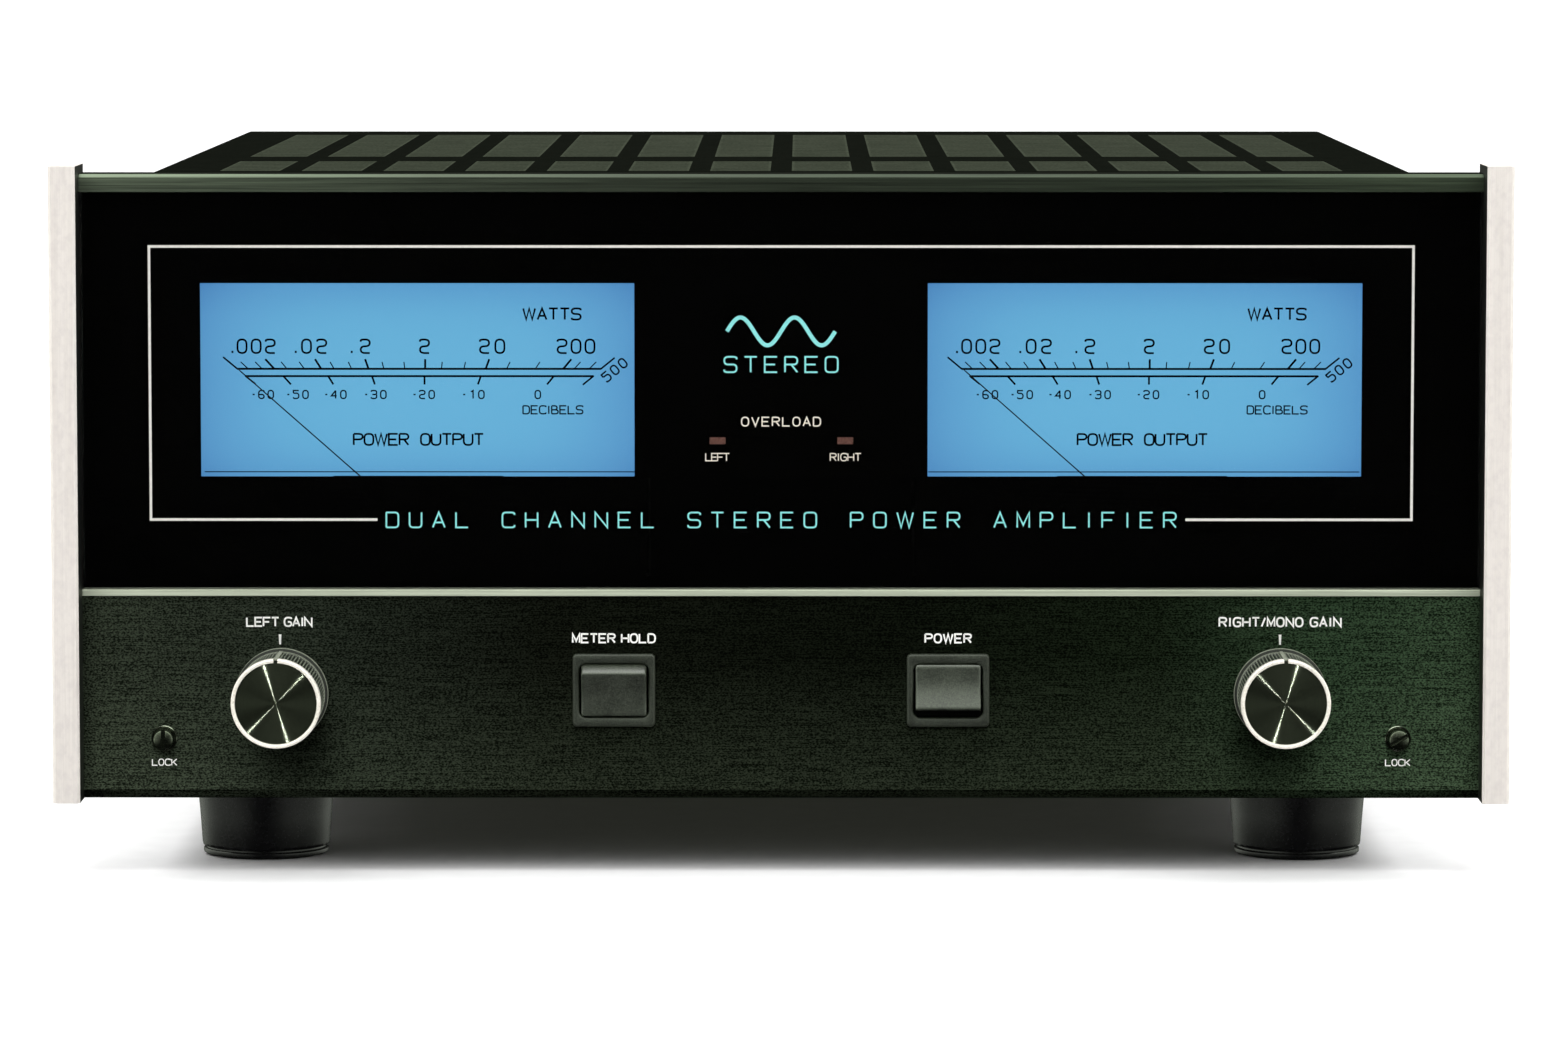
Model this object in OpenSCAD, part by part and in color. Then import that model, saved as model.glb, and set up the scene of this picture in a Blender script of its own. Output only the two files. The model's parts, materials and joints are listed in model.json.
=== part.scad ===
// Full-width stereo power amplifier, standing on four feet, its front facing -Y.
// The origin is on the ground under the middle of the whole amplifier.
// A depth, written d, is counted back from the front faces of the end caps.

/* [Case] */
// Width over both end caps
case_w = 416; // [414:1:424]
// Height of the end caps' tops above the ground
case_h = 203; // [202:0.5:205]
// Depth of the rear panel's outer face
case_d = 370; // [368:1:380]
// Width of the chassis over the cover's side flanges
chassis_w = 362; // [357:1:362]
// Thickness of the folded sheet steel
sheet_t = 1.2; // [1:0.1:1.3]

/* [Front panel] */
// Width of one end cap
cap_w = 7.8; // [7:0.1:8.5]
// Depth of one end cap
cap_depth = 24; // [20:0.5:28]
// Depth of the glass and lower panel faces
panel_d = 11; // [10.8:0.1:11.2]
// Height of the front panel's lower edge above the ground
panel_bottom = 21.2; // [20.8:0.1:21.8]
// Height of the accent strip's lower edge above the ground
strip_z = 79.6; // [79:0.1:80]
// Height of the accent strip
strip_h = 1.9; // [1.5:0.1:2]
// Height of the glass's upper edge above the ground
glass_top = 195.3; // [195:0.1:195.8]
// Thickness of the glass
glass_t = 5; // [4.6:0.1:5]
// Thickness of the brushed lower panel
lower_t = 3; // [2.6:0.1:3]

/* [Meters] */
// Distance of each meter window's centre from the middle
meter_x = 104.15; // [103:0.05:105]
// Width of a meter window
window_w = 124.3; // [120:0.1:125]
// Height of a meter window
window_h = 55.5; // [53:0.1:56]
// Height of a window's lower edge above the ground
window_z = 113.5; // [112.5:0.1:114]
// Sideways offset of a needle's pivot from its window's centre
pivot_x = 1.7; // [0:0.1:2]
// Height of the needle pivots above the ground
pivot_z = 96.7; // [96:0.1:98]
// Length of a needle from its pivot to its tip
needle_l = 72; // [66:0.5:73]
// Angle of a resting needle from upright
needle_rest = 48.6; // [44:0.1:50]

/* [Controls] */
// Distance of each gain knob's axis from the middle
knob_x = 143; // [141:0.5:146]
// Height of the knob axes above the ground
knob_z = 51.5; // [50:0.5:54]
// Diameter of a knob's gripping side
knob_dia = 25; // [23:0.5:26]
// Distance of a knob's front from the panel face
knob_reach = 27; // [25:0.5:28]
// Distance of each rocker switch from the middle
switch_x = 47.9; // [46:0.1:50]
// Height of the rocker switches' centres above the ground
switch_z = 52.5; // [51:0.5:54]
// Tilt of a rocker from its middle position
rocker_tilt = 11; // [9:0.5:12]
// Distance of each lock stud from the middle
lock_x = 177; // [175:0.5:179]
// Height of the lock studs above the ground
lock_z = 38.5; // [38:0.5:41]

/* [Feet] */
// Distance of each foot from the middle
foot_x = 151; // [148:1:153]
// Depth of the front feet's centres
foot_front_d = 52; // [48:1:60]
// Depth of the rear feet's centres
foot_rear_d = 330; // [310:1:335]
// Diameter of a foot at the chassis
foot_top_dia = 40.5; // [36:0.5:42]
// Diameter of a foot at its rubber ring
foot_base_dia = 36; // [33:0.5:36]
// Height of a foot with its rubber ring
foot_h = 24; // [23.5:0.1:24.5]
// Height of the rubber ring under a foot
pad_h = 3; // [2.5:0.5:4]

/* [Vents] */
// Number of vent columns across the cover
vent_columns = 14; // [12:2:14]
// Distance between neighbouring vent columns
vent_pitch = 23.5; // [22:0.5:24]
// Width of one vent
vent_w = 17.5; // [16:0.5:19]

/* [Rear connectors] */
// Height of the row of connectors above the ground
socket_z = 75; // [70:1:80]
// Radius of a signal jack's barrel
jack_r = 4.15; // [4:0.05:4.3]
// Length of a signal jack's free barrel
jack_l = 9; // [8:0.5:10]
// Distance between the two posts of one channel
post_pitch = 19; // [19:0.5:21]
// Radius of the plug socket in a speaker post
post_bore_r = 2; // [1.9:0.05:2.1]
// Distance of a speaker post's end behind the rear panel
post_reach = 19; // [18:0.5:22]

/* [Hidden] */
$fn = 64;
eps = 0.02;
knob_proud = knob_reach - panel_d;
total_d = knob_proud + case_d + post_reach;
cap_front_y = knob_proud - total_d / 2;
inner_w = case_w - 2 * cap_w;
strip_top = strip_z + strip_h;
rail_top = case_h - 2.4;
rail_front_d = panel_d - 1.5;
rail_back_d = 20;
mask_d = panel_d + glass_t;
mask_t = 0.5;
backing_d = mask_d + mask_t;
lower_back_d = panel_d + lower_t;
cover_top = case_h - 2.3;
cover_under = cover_top - sheet_t;
cover_flange = 14;
// Hairline between the cover's top sheet and its folded sides, so that each is a flat solid
fold_gap = 0.05;
side_out = chassis_w / 2 - sheet_t;
side_in = side_out - sheet_t;
floor_z = foot_h;
floor_top = floor_z + sheet_t;
subpanel_d = 44;
rear_in_d = case_d - sheet_t;

// Vent rows: the depths at which each row starts and ends
front_vents = [26, 104];
rear_vents = [138, case_d - 32];
screen_t = 1;

// Meters
housing_w = 134;
housing_wall = 1.5;
housing_low = pivot_z - 12.2;
housing_high = window_z + window_h + 4.4;
face_d = 24;
face_t = 1;
needle_d = 21.4;
staff_r = 0.8;
staff_clear = 0.05;
movement_d = 28;
movement_r = 10;

// Knobs, shafts and potentiometers
knob_gap = 1.5;
shaft_r = 3;
shaft_clear = 0.05;
bushing_r = 4.7;
pot_r = 12;
pot_l = 11;

// Rocker switches: the rocker turns on a pivot behind its bezel
bezel_w = 23.7;
bezel_h = 21;
bezel_proud = 1.8;
switch_body_w = 22;
switch_body_h = 19.4;
switch_body_l = 17;
rocker_w = 18.6;
rocker_slot_w = 19.6;
rocker_r = 8.5;
rocker_clear = 0.25;
rocker_face = 6;
rocker_back = 3;
pivot_d = panel_d - bezel_proud + 4.1;
rocker_pin_r = 1.5;
rocker_pin_clear = 0.06;

// Lock studs
stud_r = 2.85;
stud_clear = 0.06;
stud_proud = 4.5;
stud_back = 2.2;
cam_l = 9;

// Fasteners
cover_screw_r = 1.5;
foot_screw_r = 2;
foot_recess_r = 5.5;
foot_recess_h = 10;

// Rear connectors, each at its own place across the rear panel
jack_x = [-142, -116];
mode_x = -80;
post_x = [-25.5 - post_pitch / 2, -25.5 + post_pitch / 2, 25.5 - post_pitch / 2, 25.5 + post_pitch / 2];
fuse_x = 86;
inlet_x = 132;
jack_flange_r = 6;
jack_flange_t = 2;
jack_hole_r = 4.5;
post_r = 3.5;
post_clear = 0.05;
post_cap_r = 7;
post_base_t = 4;
post_base_r = 7.5;
mode_slot_w = 15;
mode_slot_h = 6;
slider_w = 7;
slider_travel = 3.5;
fuse_r = 6.5;
fuse_bore_r = 5;
fuse_clear = 0.05;
inlet_w = 30;
inlet_h = 24;
inlet_socket_w = 24;
inlet_socket_h = 18;
inlet_socket_l = 17;
inlet_flange_w = 50;

// Inside the case
sink_x = 112;
sink_base_t = 6;
sink_fin_reach = 172;
sink_fin_t = 2.5;
sink_fin_pitch = 12;
sink_fins = 18;
sink_start_d = 86;
sink_top = 188;
sink_fin_low = 42;
sink_l = (sink_fins - 1) * sink_fin_pitch + sink_fin_t;
board_t = 1.6;
transformer_d = 112;
capacitor_r = 33;
capacitor_x = 40;
capacitor_d = 222;
supply_d = [268, 348];
input_board_d = 344;

function y_at(d) = cap_front_y + d;

// A box between two corners, each given as [x, d, z]
module slab(low, high) {
    translate([low[0], y_at(low[1]), low[2]])
        cube([high[0] - low[0], high[1] - low[1], high[2] - low[2]]);
}

// Children drawn along +Z point backwards from a depth
module backwards(x, d, z) {
    translate([x, y_at(d), z]) rotate([-90, 0, 0]) children();
}

// Children drawn along +Z point forwards from a depth
module forwards(x, d, z) {
    translate([x, y_at(d), z]) rotate([90, 0, 0]) children();
}

// An outline of [y, z] points extruded along +X
module along_x(x, length) {
    translate([x, 0, 0]) rotate([90, 0, 90]) linear_extrude(length) children();
}

// A rectangle with round corners, centred
module round_rect(w, h, r) {
    square([w - 2 * r, h], center = true);
    square([w, h - 2 * r], center = true);
    for (sx = [-1, 1], sz = [-1, 1])
        translate([sx * (w / 2 - r), sz * (h / 2 - r)]) circle(r);
}

// ---- front panel ----

module end_cap(side) {
    edge = 0.8;
    color("gainsboro")
        translate([side * (case_w - cap_w) / 2, y_at(0), panel_bottom - 0.2])
            linear_extrude(case_h - panel_bottom + 0.2)
                polygon([
                    [-cap_w / 2 + edge, 0], [cap_w / 2 - edge, 0], [cap_w / 2, edge],
                    [cap_w / 2, cap_depth - edge], [cap_w / 2 - edge, cap_depth],
                    [-cap_w / 2 + edge, cap_depth], [-cap_w / 2, cap_depth - edge], [-cap_w / 2, edge]
                ]);
}

module top_rail() {
    bevel = 1.1;
    color("darkslategray")
        along_x(-inner_w / 2, inner_w)
            polygon([
                [y_at(rail_front_d), glass_top], [y_at(rail_back_d), glass_top],
                [y_at(rail_back_d), rail_top], [y_at(rail_front_d + bevel), rail_top],
                [y_at(rail_front_d), rail_top - bevel]
            ]);
}

module glass_panel() {
    color("black", 0.5)
        slab([-inner_w / 2, panel_d, strip_top], [inner_w / 2, mask_d, glass_top]);
}

module meter_window(side) {
    slab([side * meter_x - window_w / 2, mask_d - 1, window_z],
         [side * meter_x + window_w / 2, backing_d + 1, window_z + window_h]);
}

led_x = [-18.2, 18.4];
led_z = 123.8;
led_w = 4.6;
led_h = 2;

module glass_mask() {
    color("black")
        difference() {
            slab([-inner_w / 2, mask_d, strip_top], [inner_w / 2, backing_d, glass_top]);
            meter_window(-1);
            meter_window(1);
            for (x = led_x)
                slab([x - led_w / 2, mask_d - 1, led_z - led_h / 2],
                     [x + led_w / 2, backing_d + 1, led_z + led_h / 2]);
        }
}

module accent_strip() {
    strip_proud = 0.8;
    color("silver")
        slab([-inner_w / 2, panel_d - strip_proud, strip_z], [inner_w / 2, backing_d, strip_top]);
}

module lower_panel() {
    lip_h = 2.5;
    lip_back = 1.2;
    color("darkslategray")
        difference() {
            along_x(-inner_w / 2, inner_w)
                polygon([
                    [y_at(panel_d), panel_bottom + lip_h], [y_at(panel_d), strip_z],
                    [y_at(lower_back_d), strip_z], [y_at(lower_back_d), panel_bottom],
                    [y_at(panel_d + lip_back), panel_bottom]
                ]);
            for (side = [-1, 1]) {
                backwards(side * knob_x, panel_d - 1, knob_z) cylinder(r = bushing_r + 0.1, h = lower_t + 2);
                backwards(side * lock_x, panel_d - 1, lock_z) cylinder(r = stud_r + stud_clear, h = lower_t + 2);
                slab([side * switch_x - switch_body_w / 2, panel_d - 1, switch_z - switch_body_h / 2],
                     [side * switch_x + switch_body_w / 2, lower_back_d + 1, switch_z + switch_body_h / 2]);
            }
        }
}

// ---- meters ----

module meter_housing(side) {
    x = side * meter_x;
    color("dimgray")
        difference() {
            slab([x - housing_w / 2, backing_d, housing_low], [x + housing_w / 2, subpanel_d, housing_high]);
            slab([x - housing_w / 2 + housing_wall, backing_d - 1, housing_low + housing_wall],
                 [x + housing_w / 2 - housing_wall, subpanel_d - housing_wall, housing_high - housing_wall]);
        }
}

module meter_face(side) {
    x = side * meter_x;
    face_low = window_z - 5.5;
    color("deepskyblue")
        slab([x - housing_w / 2 + housing_wall, face_d, face_low],
             [x + housing_w / 2 - housing_wall, face_d + face_t, housing_high - housing_wall]);
}

module needle(side) {
    hub_r = 3;
    hub_t = 2;
    arm_w = 0.7;
    arm_t = 0.5;
    tail_l = 9;
    staff_end_d = movement_d + 3;
    color("black")
        backwards(side * meter_x + pivot_x, needle_d, pivot_z) {
            cylinder(r = staff_r, h = staff_end_d - needle_d);
            cylinder(r = hub_r, h = hub_t);
            rotate([0, 0, -90 - needle_rest])
                translate([0, -arm_w / 2, 0.5]) cube([needle_l, arm_w, arm_t]);
            rotate([0, 0, 90 - needle_rest])
                translate([0, -1, 0.5]) cube([tail_l, 2, arm_t + 0.6]);
        }
}

module meter_movements() {
    ear_w = 26;
    ear_h = 6;
    color("gray")
        for (side = [-1, 1])
            difference() {
                union() {
                    backwards(side * meter_x + pivot_x, movement_d, pivot_z)
                        cylinder(r = movement_r, h = subpanel_d - housing_wall - movement_d);
                    slab([side * meter_x + pivot_x - ear_w / 2, movement_d + 6, pivot_z - ear_h / 2],
                         [side * meter_x + pivot_x + ear_w / 2, subpanel_d - housing_wall, pivot_z + ear_h / 2]);
                }
                backwards(side * meter_x + pivot_x, movement_d - 1, pivot_z)
                    cylinder(r = staff_r + staff_clear, h = 6);
            }
}

module meter_lamps() {
    lamp_r = 4;
    lamp_l = 26;
    lamp_d = 34;
    lamp_z = window_z + 36;
    lamp_spread = 32;
    holder_w = 10;
    color("lightyellow")
        for (side = [-1, 1], lean = [-1, 1]) {
            x = side * meter_x + lean * lamp_spread;
            translate([x - lamp_l / 2, y_at(lamp_d), lamp_z]) rotate([0, 90, 0])
                cylinder(r = lamp_r, h = lamp_l);
            slab([x - holder_w / 2, lamp_d + lamp_r, lamp_z - 3],
                 [x + holder_w / 2, subpanel_d - housing_wall, lamp_z + 3]);
        }
}

module overload_leds() {
    led_l = 6;
    pcb_w = 34;
    pcb_h = 12;
    color("firebrick") {
        for (x = led_x) {
            slab([x - led_w / 2, mask_d, led_z - led_h / 2], [x + led_w / 2, backing_d, led_z + led_h / 2]);
            slab([x - 3, backing_d, led_z - 2], [x + 3, backing_d + led_l, led_z + 2]);
        }
        slab([-pcb_w, backing_d + led_l, led_z - pcb_h / 2],
             [pcb_w, backing_d + led_l + board_t, led_z + pcb_h / 2]);
        slab([-4, backing_d + led_l + board_t, led_z - 4], [4, subpanel_d, led_z + 4]);
    }
}

// ---- controls ----

module gain_knob(side) {
    r = knob_dia / 2;
    ring = 0.4;
    flange = 0.8;
    notch_w = 1.3;
    notch_depth = 0.6;
    bore_l = knob_reach - 9;
    color("dimgray")
        forwards(side * knob_x, panel_d, knob_z)
            difference() {
                rotate_extrude()
                    polygon([
                        [0, knob_gap], [r + flange, knob_gap], [r + flange, knob_gap + 2.6], [r, knob_gap + 3.4],
                        [r, knob_reach - 2], [r + ring, knob_reach - 1.6], [r + ring, knob_reach - 0.6],
                        [r - 0.2, knob_reach], [r - 1.1, knob_reach], [r - 1.5, knob_reach - 0.5],
                        [0, knob_reach - 0.5]
                    ]);
                translate([0, 0, knob_gap - 1]) cylinder(r = shaft_r, h = bore_l);
                translate([-notch_w / 2, r - notch_depth, knob_gap + 3.4]) cube([notch_w, 3, knob_reach]);
            }
}

module gain_shaft(side) {
    front_d = panel_d - (knob_reach - 9 + knob_gap - 1);
    color("silver")
        backwards(side * knob_x, front_d, knob_z)
            cylinder(r = shaft_r, h = lower_back_d + pot_l - 2 - front_d);
}

module gain_pots() {
    nut_r = 6.6;
    nut_t = 1.2;
    lug_w = 10;
    color("darkgray")
        for (side = [-1, 1]) {
            difference() {
                union() {
                    backwards(side * knob_x, panel_d - nut_t - 0.1, knob_z)
                        cylinder(r = bushing_r, h = lower_t + nut_t + 0.1 + eps);
                    backwards(side * knob_x, lower_back_d, knob_z) cylinder(r = pot_r, h = pot_l);
                    slab([side * knob_x - lug_w / 2, lower_back_d + 3, knob_z - pot_r - 5],
                         [side * knob_x + lug_w / 2, lower_back_d + 4.6, knob_z - pot_r + 3]);
                }
                backwards(side * knob_x, panel_d - nut_t - 1, knob_z)
                    cylinder(r = shaft_r + shaft_clear, h = lower_t + nut_t + pot_l);
            }
            difference() {
                backwards(side * knob_x, panel_d - nut_t, knob_z) cylinder(r = nut_r, h = nut_t, $fn = 6);
                backwards(side * knob_x, panel_d - nut_t - 1, knob_z) cylinder(r = bushing_r, h = nut_t + 2);
            }
        }
}

module switch_housing(side) {
    corner = 1.2;
    lug_l = 6;
    color("black") {
        difference() {
            union() {
                forwards(side * switch_x, panel_d, switch_z)
                    linear_extrude(bezel_proud) round_rect(bezel_w, bezel_h, corner);
                slab([side * switch_x - switch_body_w / 2, panel_d, switch_z - switch_body_h / 2],
                     [side * switch_x + switch_body_w / 2, panel_d + switch_body_l, switch_z + switch_body_h / 2]);
                for (z = [-5, 0, 5])
                    slab([side * switch_x - 3, panel_d + switch_body_l - eps, switch_z + z - 0.4],
                         [side * switch_x + 3, panel_d + switch_body_l + lug_l, switch_z + z + 0.4]);
            }
            translate([side * switch_x - rocker_slot_w / 2, y_at(pivot_d), switch_z]) rotate([0, 90, 0])
                cylinder(r = rocker_r + rocker_clear, h = rocker_slot_w);
            translate([side * switch_x - switch_body_w, y_at(pivot_d), switch_z]) rotate([0, 90, 0])
                cylinder(r = rocker_pin_r + rocker_pin_clear, h = 2 * switch_body_w);
        }
    }
}

// A rocker with its raised end up (lean 1) or down (lean -1)
module rocker(side, lean) {
    pin_l = rocker_slot_w / 2 + 0.9;
    color("darkslategray")
        translate([side * switch_x, y_at(pivot_d), switch_z]) rotate([lean * rocker_tilt, 0, 0]) {
            along_x(-rocker_w / 2, rocker_w)
                intersection() {
                    circle(rocker_r);
                    translate([-rocker_face, -rocker_r]) square([rocker_face + rocker_back, 2 * rocker_r]);
                }
            along_x(-pin_l, 2 * pin_l) circle(rocker_pin_r);
        }
}

// A lock stud whose slot is turned by an angle from upright
module lock_stud(side, slot_angle) {
    slot_w = 1;
    slot_depth = 1.6;
    cam_w = 5;
    cam_t = 1.8;
    color("dimgray")
        backwards(side * lock_x, panel_d - stud_proud, lock_z)
            difference() {
                union() {
                    cylinder(r1 = stud_r - 0.4, r2 = stud_r, h = 0.4);
                    translate([0, 0, 0.4]) cylinder(r = stud_r, h = stud_proud + lower_t + stud_back - 0.4);
                    translate([-cam_w / 2, -stud_r, stud_proud + lower_t + stud_back - cam_t])
                        cube([cam_w, cam_l, cam_t]);
                }
                rotate([0, 0, slot_angle]) translate([-slot_w / 2, -stud_r - 1, -1])
                    cube([slot_w, 2 * stud_r + 2, slot_depth + 1]);
            }
}

// ---- chassis ----

module front_subpanel() {
    loom_r = 7;
    color("gray")
        difference() {
            slab([-side_in, subpanel_d, floor_top], [side_in, subpanel_d + sheet_t, cover_under - screen_t]);
            for (side = [-1, 1])
                backwards(side * 88, subpanel_d - 1, 42) cylinder(r = loom_r, h = sheet_t + 2);
        }
}

module chassis_floor() {
    slot_w = 5;
    slot_l = 42;
    slot_pitch = 12;
    color("darkslategray")
        difference() {
            slab([-side_out, lower_back_d, floor_z], [side_out, rear_in_d, floor_top]);
            for (side = [-1, 1], n = [0 : sink_fins - 2])
                slab([side * 145 - slot_l / 2, sink_start_d + 5 + n * slot_pitch, floor_z - 1],
                     [side * 145 + slot_l / 2, sink_start_d + 5 + n * slot_pitch + slot_w, floor_top + 1]);
            for (side = [-1, 1], d = [foot_front_d, foot_rear_d])
                translate([side * foot_x, y_at(d), floor_z - 1]) cylinder(r = foot_screw_r, h = sheet_t + 2);
        }
}

cover_screw_d = [62, 200, case_d - 26];
cover_screw_z = cover_top - 7.5;

module side_panel(side) {
    slot_w = 3;
    slot_low = 112;
    slot_high = 172;
    slot_pitch = 9;
    slots = 24;
    outer = side_out;
    color("darkslategray")
        difference() {
            slab([side > 0 ? side_in : -outer, backing_d, floor_top],
                 [side > 0 ? outer : -side_in, rear_in_d, cover_under]);
            slab([side * outer - 3, backing_d - 1, glass_top], [side * outer + 3, rail_back_d, cover_top]);
            for (n = [0 : slots - 1])
                slab([side * outer - 3, 90 + n * slot_pitch, slot_low],
                     [side * outer + 3, 90 + n * slot_pitch + slot_w, slot_high]);
            for (d = cover_screw_d)
                translate([side * outer - 4, y_at(d), cover_screw_z]) rotate([0, 90, 0])
                    cylinder(r = cover_screw_r, h = 8);
        }
}

module rear_panel() {
    vent_x = 144;
    vent_step = 8;
    vent_low = 118;
    vent_high = 172;
    color("darkslategray")
        difference() {
            slab([-side_out, rear_in_d, floor_z], [side_out, case_d, cover_under]);
            for (x = [-vent_x : vent_step : vent_x])
                slab([x - 1.5, rear_in_d - 1, vent_low], [x + 1.5, case_d + 1, vent_high]);
            for (x = jack_x)
                backwards(x, rear_in_d - 1, socket_z) cylinder(r = jack_hole_r, h = sheet_t + 2);
            for (x = post_x)
                backwards(x, rear_in_d - 1, socket_z) cylinder(r = post_r + 1.5, h = sheet_t + 2);
            backwards(fuse_x, rear_in_d - 1, socket_z) cylinder(r = fuse_r, h = sheet_t + 2);
            slab([mode_x - mode_slot_w / 2, rear_in_d - 1, socket_z - mode_slot_h / 2],
                 [mode_x + mode_slot_w / 2, case_d + 1, socket_z + mode_slot_h / 2]);
            slab([inlet_x - inlet_w / 2, rear_in_d - 1, socket_z - inlet_h / 2],
                 [inlet_x + inlet_w / 2, case_d + 1, socket_z + inlet_h / 2]);
        }
}

module top_cover() {
    color("darkslategray") {
        difference() {
            slab([-chassis_w / 2, rail_back_d, cover_under], [chassis_w / 2, case_d, cover_top]);
            for (n = [0 : vent_columns - 1], row = [front_vents, rear_vents]) {
                x = (n - (vent_columns - 1) / 2) * vent_pitch;
                slab([x - vent_w / 2, row[0], cover_under - 1], [x + vent_w / 2, row[1], cover_top + 1]);
            }
        }
        for (side = [-1, 1]) cover_side(side);
    }
}

// The folded side of the cover, a flat strip that the cover's screws pass through
module cover_side(side) {
    x = [side * side_out, side * chassis_w / 2];
    difference() {
        slab([min(x), rail_back_d, cover_top - cover_flange], [max(x), case_d, cover_under - fold_gap]);
        for (d = cover_screw_d)
            translate([side * side_out - 4, y_at(d), cover_screw_z]) rotate([0, 90, 0])
                cylinder(r = cover_screw_r, h = 8);
    }
}

module vent_screen() {
    margin = 4;
    half_w = (vent_columns - 1) / 2 * vent_pitch + vent_w / 2 + margin;
    color("gray")
        slab([-half_w, front_vents[0] - margin, cover_under - screen_t],
             [half_w, rear_vents[1] + margin, cover_under]);
}

module screw(head_r, head_h, shank_r, shank_l) {
    cross = 0.9;
    difference() {
        union() {
            cylinder(r1 = head_r - 0.5, r2 = head_r, h = 0.5);
            translate([0, 0, 0.5]) cylinder(r = head_r, h = head_h - 0.5);
            cylinder(r = shank_r, h = head_h + shank_l);
        }
        for (a = [0, 90])
            rotate([0, 0, a]) translate([-cross / 2, -head_r * 0.6, -1]) cube([cross, head_r * 1.2, 1.9]);
    }
}

module case_screws() {
    head_h = 1.8;
    foot_head_h = 2.6;
    color("dimgray") {
        for (side = [-1, 1], d = cover_screw_d)
            translate([side * (chassis_w / 2 + head_h), y_at(d), cover_screw_z]) rotate([0, -side * 90, 0])
                screw(3, head_h, cover_screw_r, 5);
        for (side = [-1, 1], d = [foot_front_d, foot_rear_d])
            translate([side * foot_x, y_at(d), foot_recess_h - foot_head_h])
                screw(4.4, foot_head_h, foot_screw_r, foot_h - foot_recess_h + 3);
    }
}

module foot(side, d) {
    groove = 0.6;
    color("black")
        translate([side * foot_x, y_at(d), 0])
            difference() {
                rotate_extrude()
                    polygon([
                        [0, pad_h], [foot_base_dia / 2, pad_h], [foot_base_dia / 2 + 0.2, pad_h + 1],
                        [foot_base_dia / 2 - groove, pad_h + 1.3], [foot_base_dia / 2 - groove, pad_h + 1.9],
                        [foot_base_dia / 2 + 0.3, pad_h + 2.2], [foot_top_dia / 2, foot_h], [0, foot_h]
                    ]);
                translate([0, 0, -1]) cylinder(r = foot_recess_r, h = foot_recess_h + 1);
                translate([0, 0, 1]) cylinder(r = foot_screw_r, h = foot_h);
            }
}

module foot_pads() {
    color("darkslategray")
        for (side = [-1, 1], d = [foot_front_d, foot_rear_d])
            translate([side * foot_x, y_at(d), 0])
                difference() {
                    rotate_extrude()
                        polygon([
                            [0, 0], [foot_base_dia / 2 - 1.2, 0], [foot_base_dia / 2 - 0.4, 0.8],
                            [foot_base_dia / 2 - 0.4, pad_h], [0, pad_h]
                        ]);
                    translate([0, 0, -1]) cylinder(r = foot_recess_r, h = pad_h + 2);
                }
}

// ---- rear connectors ----

module input_jacks() {
    bore_r = 1.6;
    body_r = 4.5;
    color("gold")
        for (x = jack_x)
            difference() {
                union() {
                    backwards(x, input_board_d + board_t, socket_z)
                        cylinder(r = body_r, h = case_d - input_board_d - board_t + eps);
                    backwards(x, case_d, socket_z) cylinder(r = jack_flange_r, h = jack_flange_t);
                    backwards(x, case_d, socket_z) cylinder(r = jack_r, h = jack_flange_t + jack_l);
                }
                backwards(x, case_d, socket_z) cylinder(r = bore_r, h = jack_flange_t + jack_l + 1);
            }
}

module speaker_posts() {
    socket_l = 16;
    tail_l = 12;
    color("silver")
        for (x = post_x)
            difference() {
                union() {
                    backwards(x, rear_in_d - tail_l, socket_z) cylinder(r = post_r, h = tail_l + sheet_t + post_reach);
                    backwards(x, rear_in_d, socket_z) cylinder(r = post_r + 1.5, h = sheet_t);
                    backwards(x, case_d, socket_z) cylinder(r = post_base_r, h = post_base_t);
                    backwards(x, rear_in_d - 3, socket_z) cylinder(r = post_base_r, h = 3);
                }
                backwards(x, case_d + post_reach - socket_l, socket_z) cylinder(r = post_bore_r, h = socket_l + 1);
            }
}

module post_cap(n) {
    gap = 0.4;
    length = post_reach - post_base_t - 1.6;
    grips = 6;
    color(n % 2 == 0 ? "red" : "black")
        backwards(post_x[n - 1], case_d + post_base_t + gap, socket_z)
            difference() {
                union() {
                    cylinder(r = post_cap_r, h = length - 1);
                    translate([0, 0, length - 1]) cylinder(r1 = post_cap_r, r2 = post_cap_r - 1, h = 1);
                }
                translate([0, 0, -1]) cylinder(r = post_r + post_clear, h = length + 2);
                for (a = [0 : 360 / grips : 359])
                    rotate([0, 0, a]) translate([post_cap_r + 0.8, 0, 3]) cylinder(r = 1.8, h = length);
            }
}

module power_inlet() {
    flange_t = 2.5;
    corner = 4;
    pin_w = 2;
    pin_h = 4;
    pin_recess = 5;
    socket_floor_d = case_d + flange_t - inlet_socket_l;
    color("black")
        difference() {
            union() {
                backwards(inlet_x, case_d, socket_z)
                    linear_extrude(flange_t) round_rect(inlet_flange_w, inlet_h + 4, corner);
                slab([inlet_x - inlet_w / 2, socket_floor_d - 4, socket_z - inlet_h / 2],
                     [inlet_x + inlet_w / 2, case_d + eps, socket_z + inlet_h / 2]);
            }
            slab([inlet_x - inlet_socket_w / 2, socket_floor_d, socket_z - inlet_socket_h / 2],
                 [inlet_x + inlet_socket_w / 2, case_d + flange_t + 1, socket_z + inlet_socket_h / 2]);
        }
    color("silver")
        for (pin = [[-7, -1], [7, -1], [0, 3.5]])
            slab([inlet_x + pin[0] - pin_w / 2, socket_floor_d - 0.5, socket_z + pin[1] - pin_h / 2],
                 [inlet_x + pin[0] + pin_w / 2, case_d + flange_t - pin_recess, socket_z + pin[1] + pin_h / 2]);
}

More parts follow.
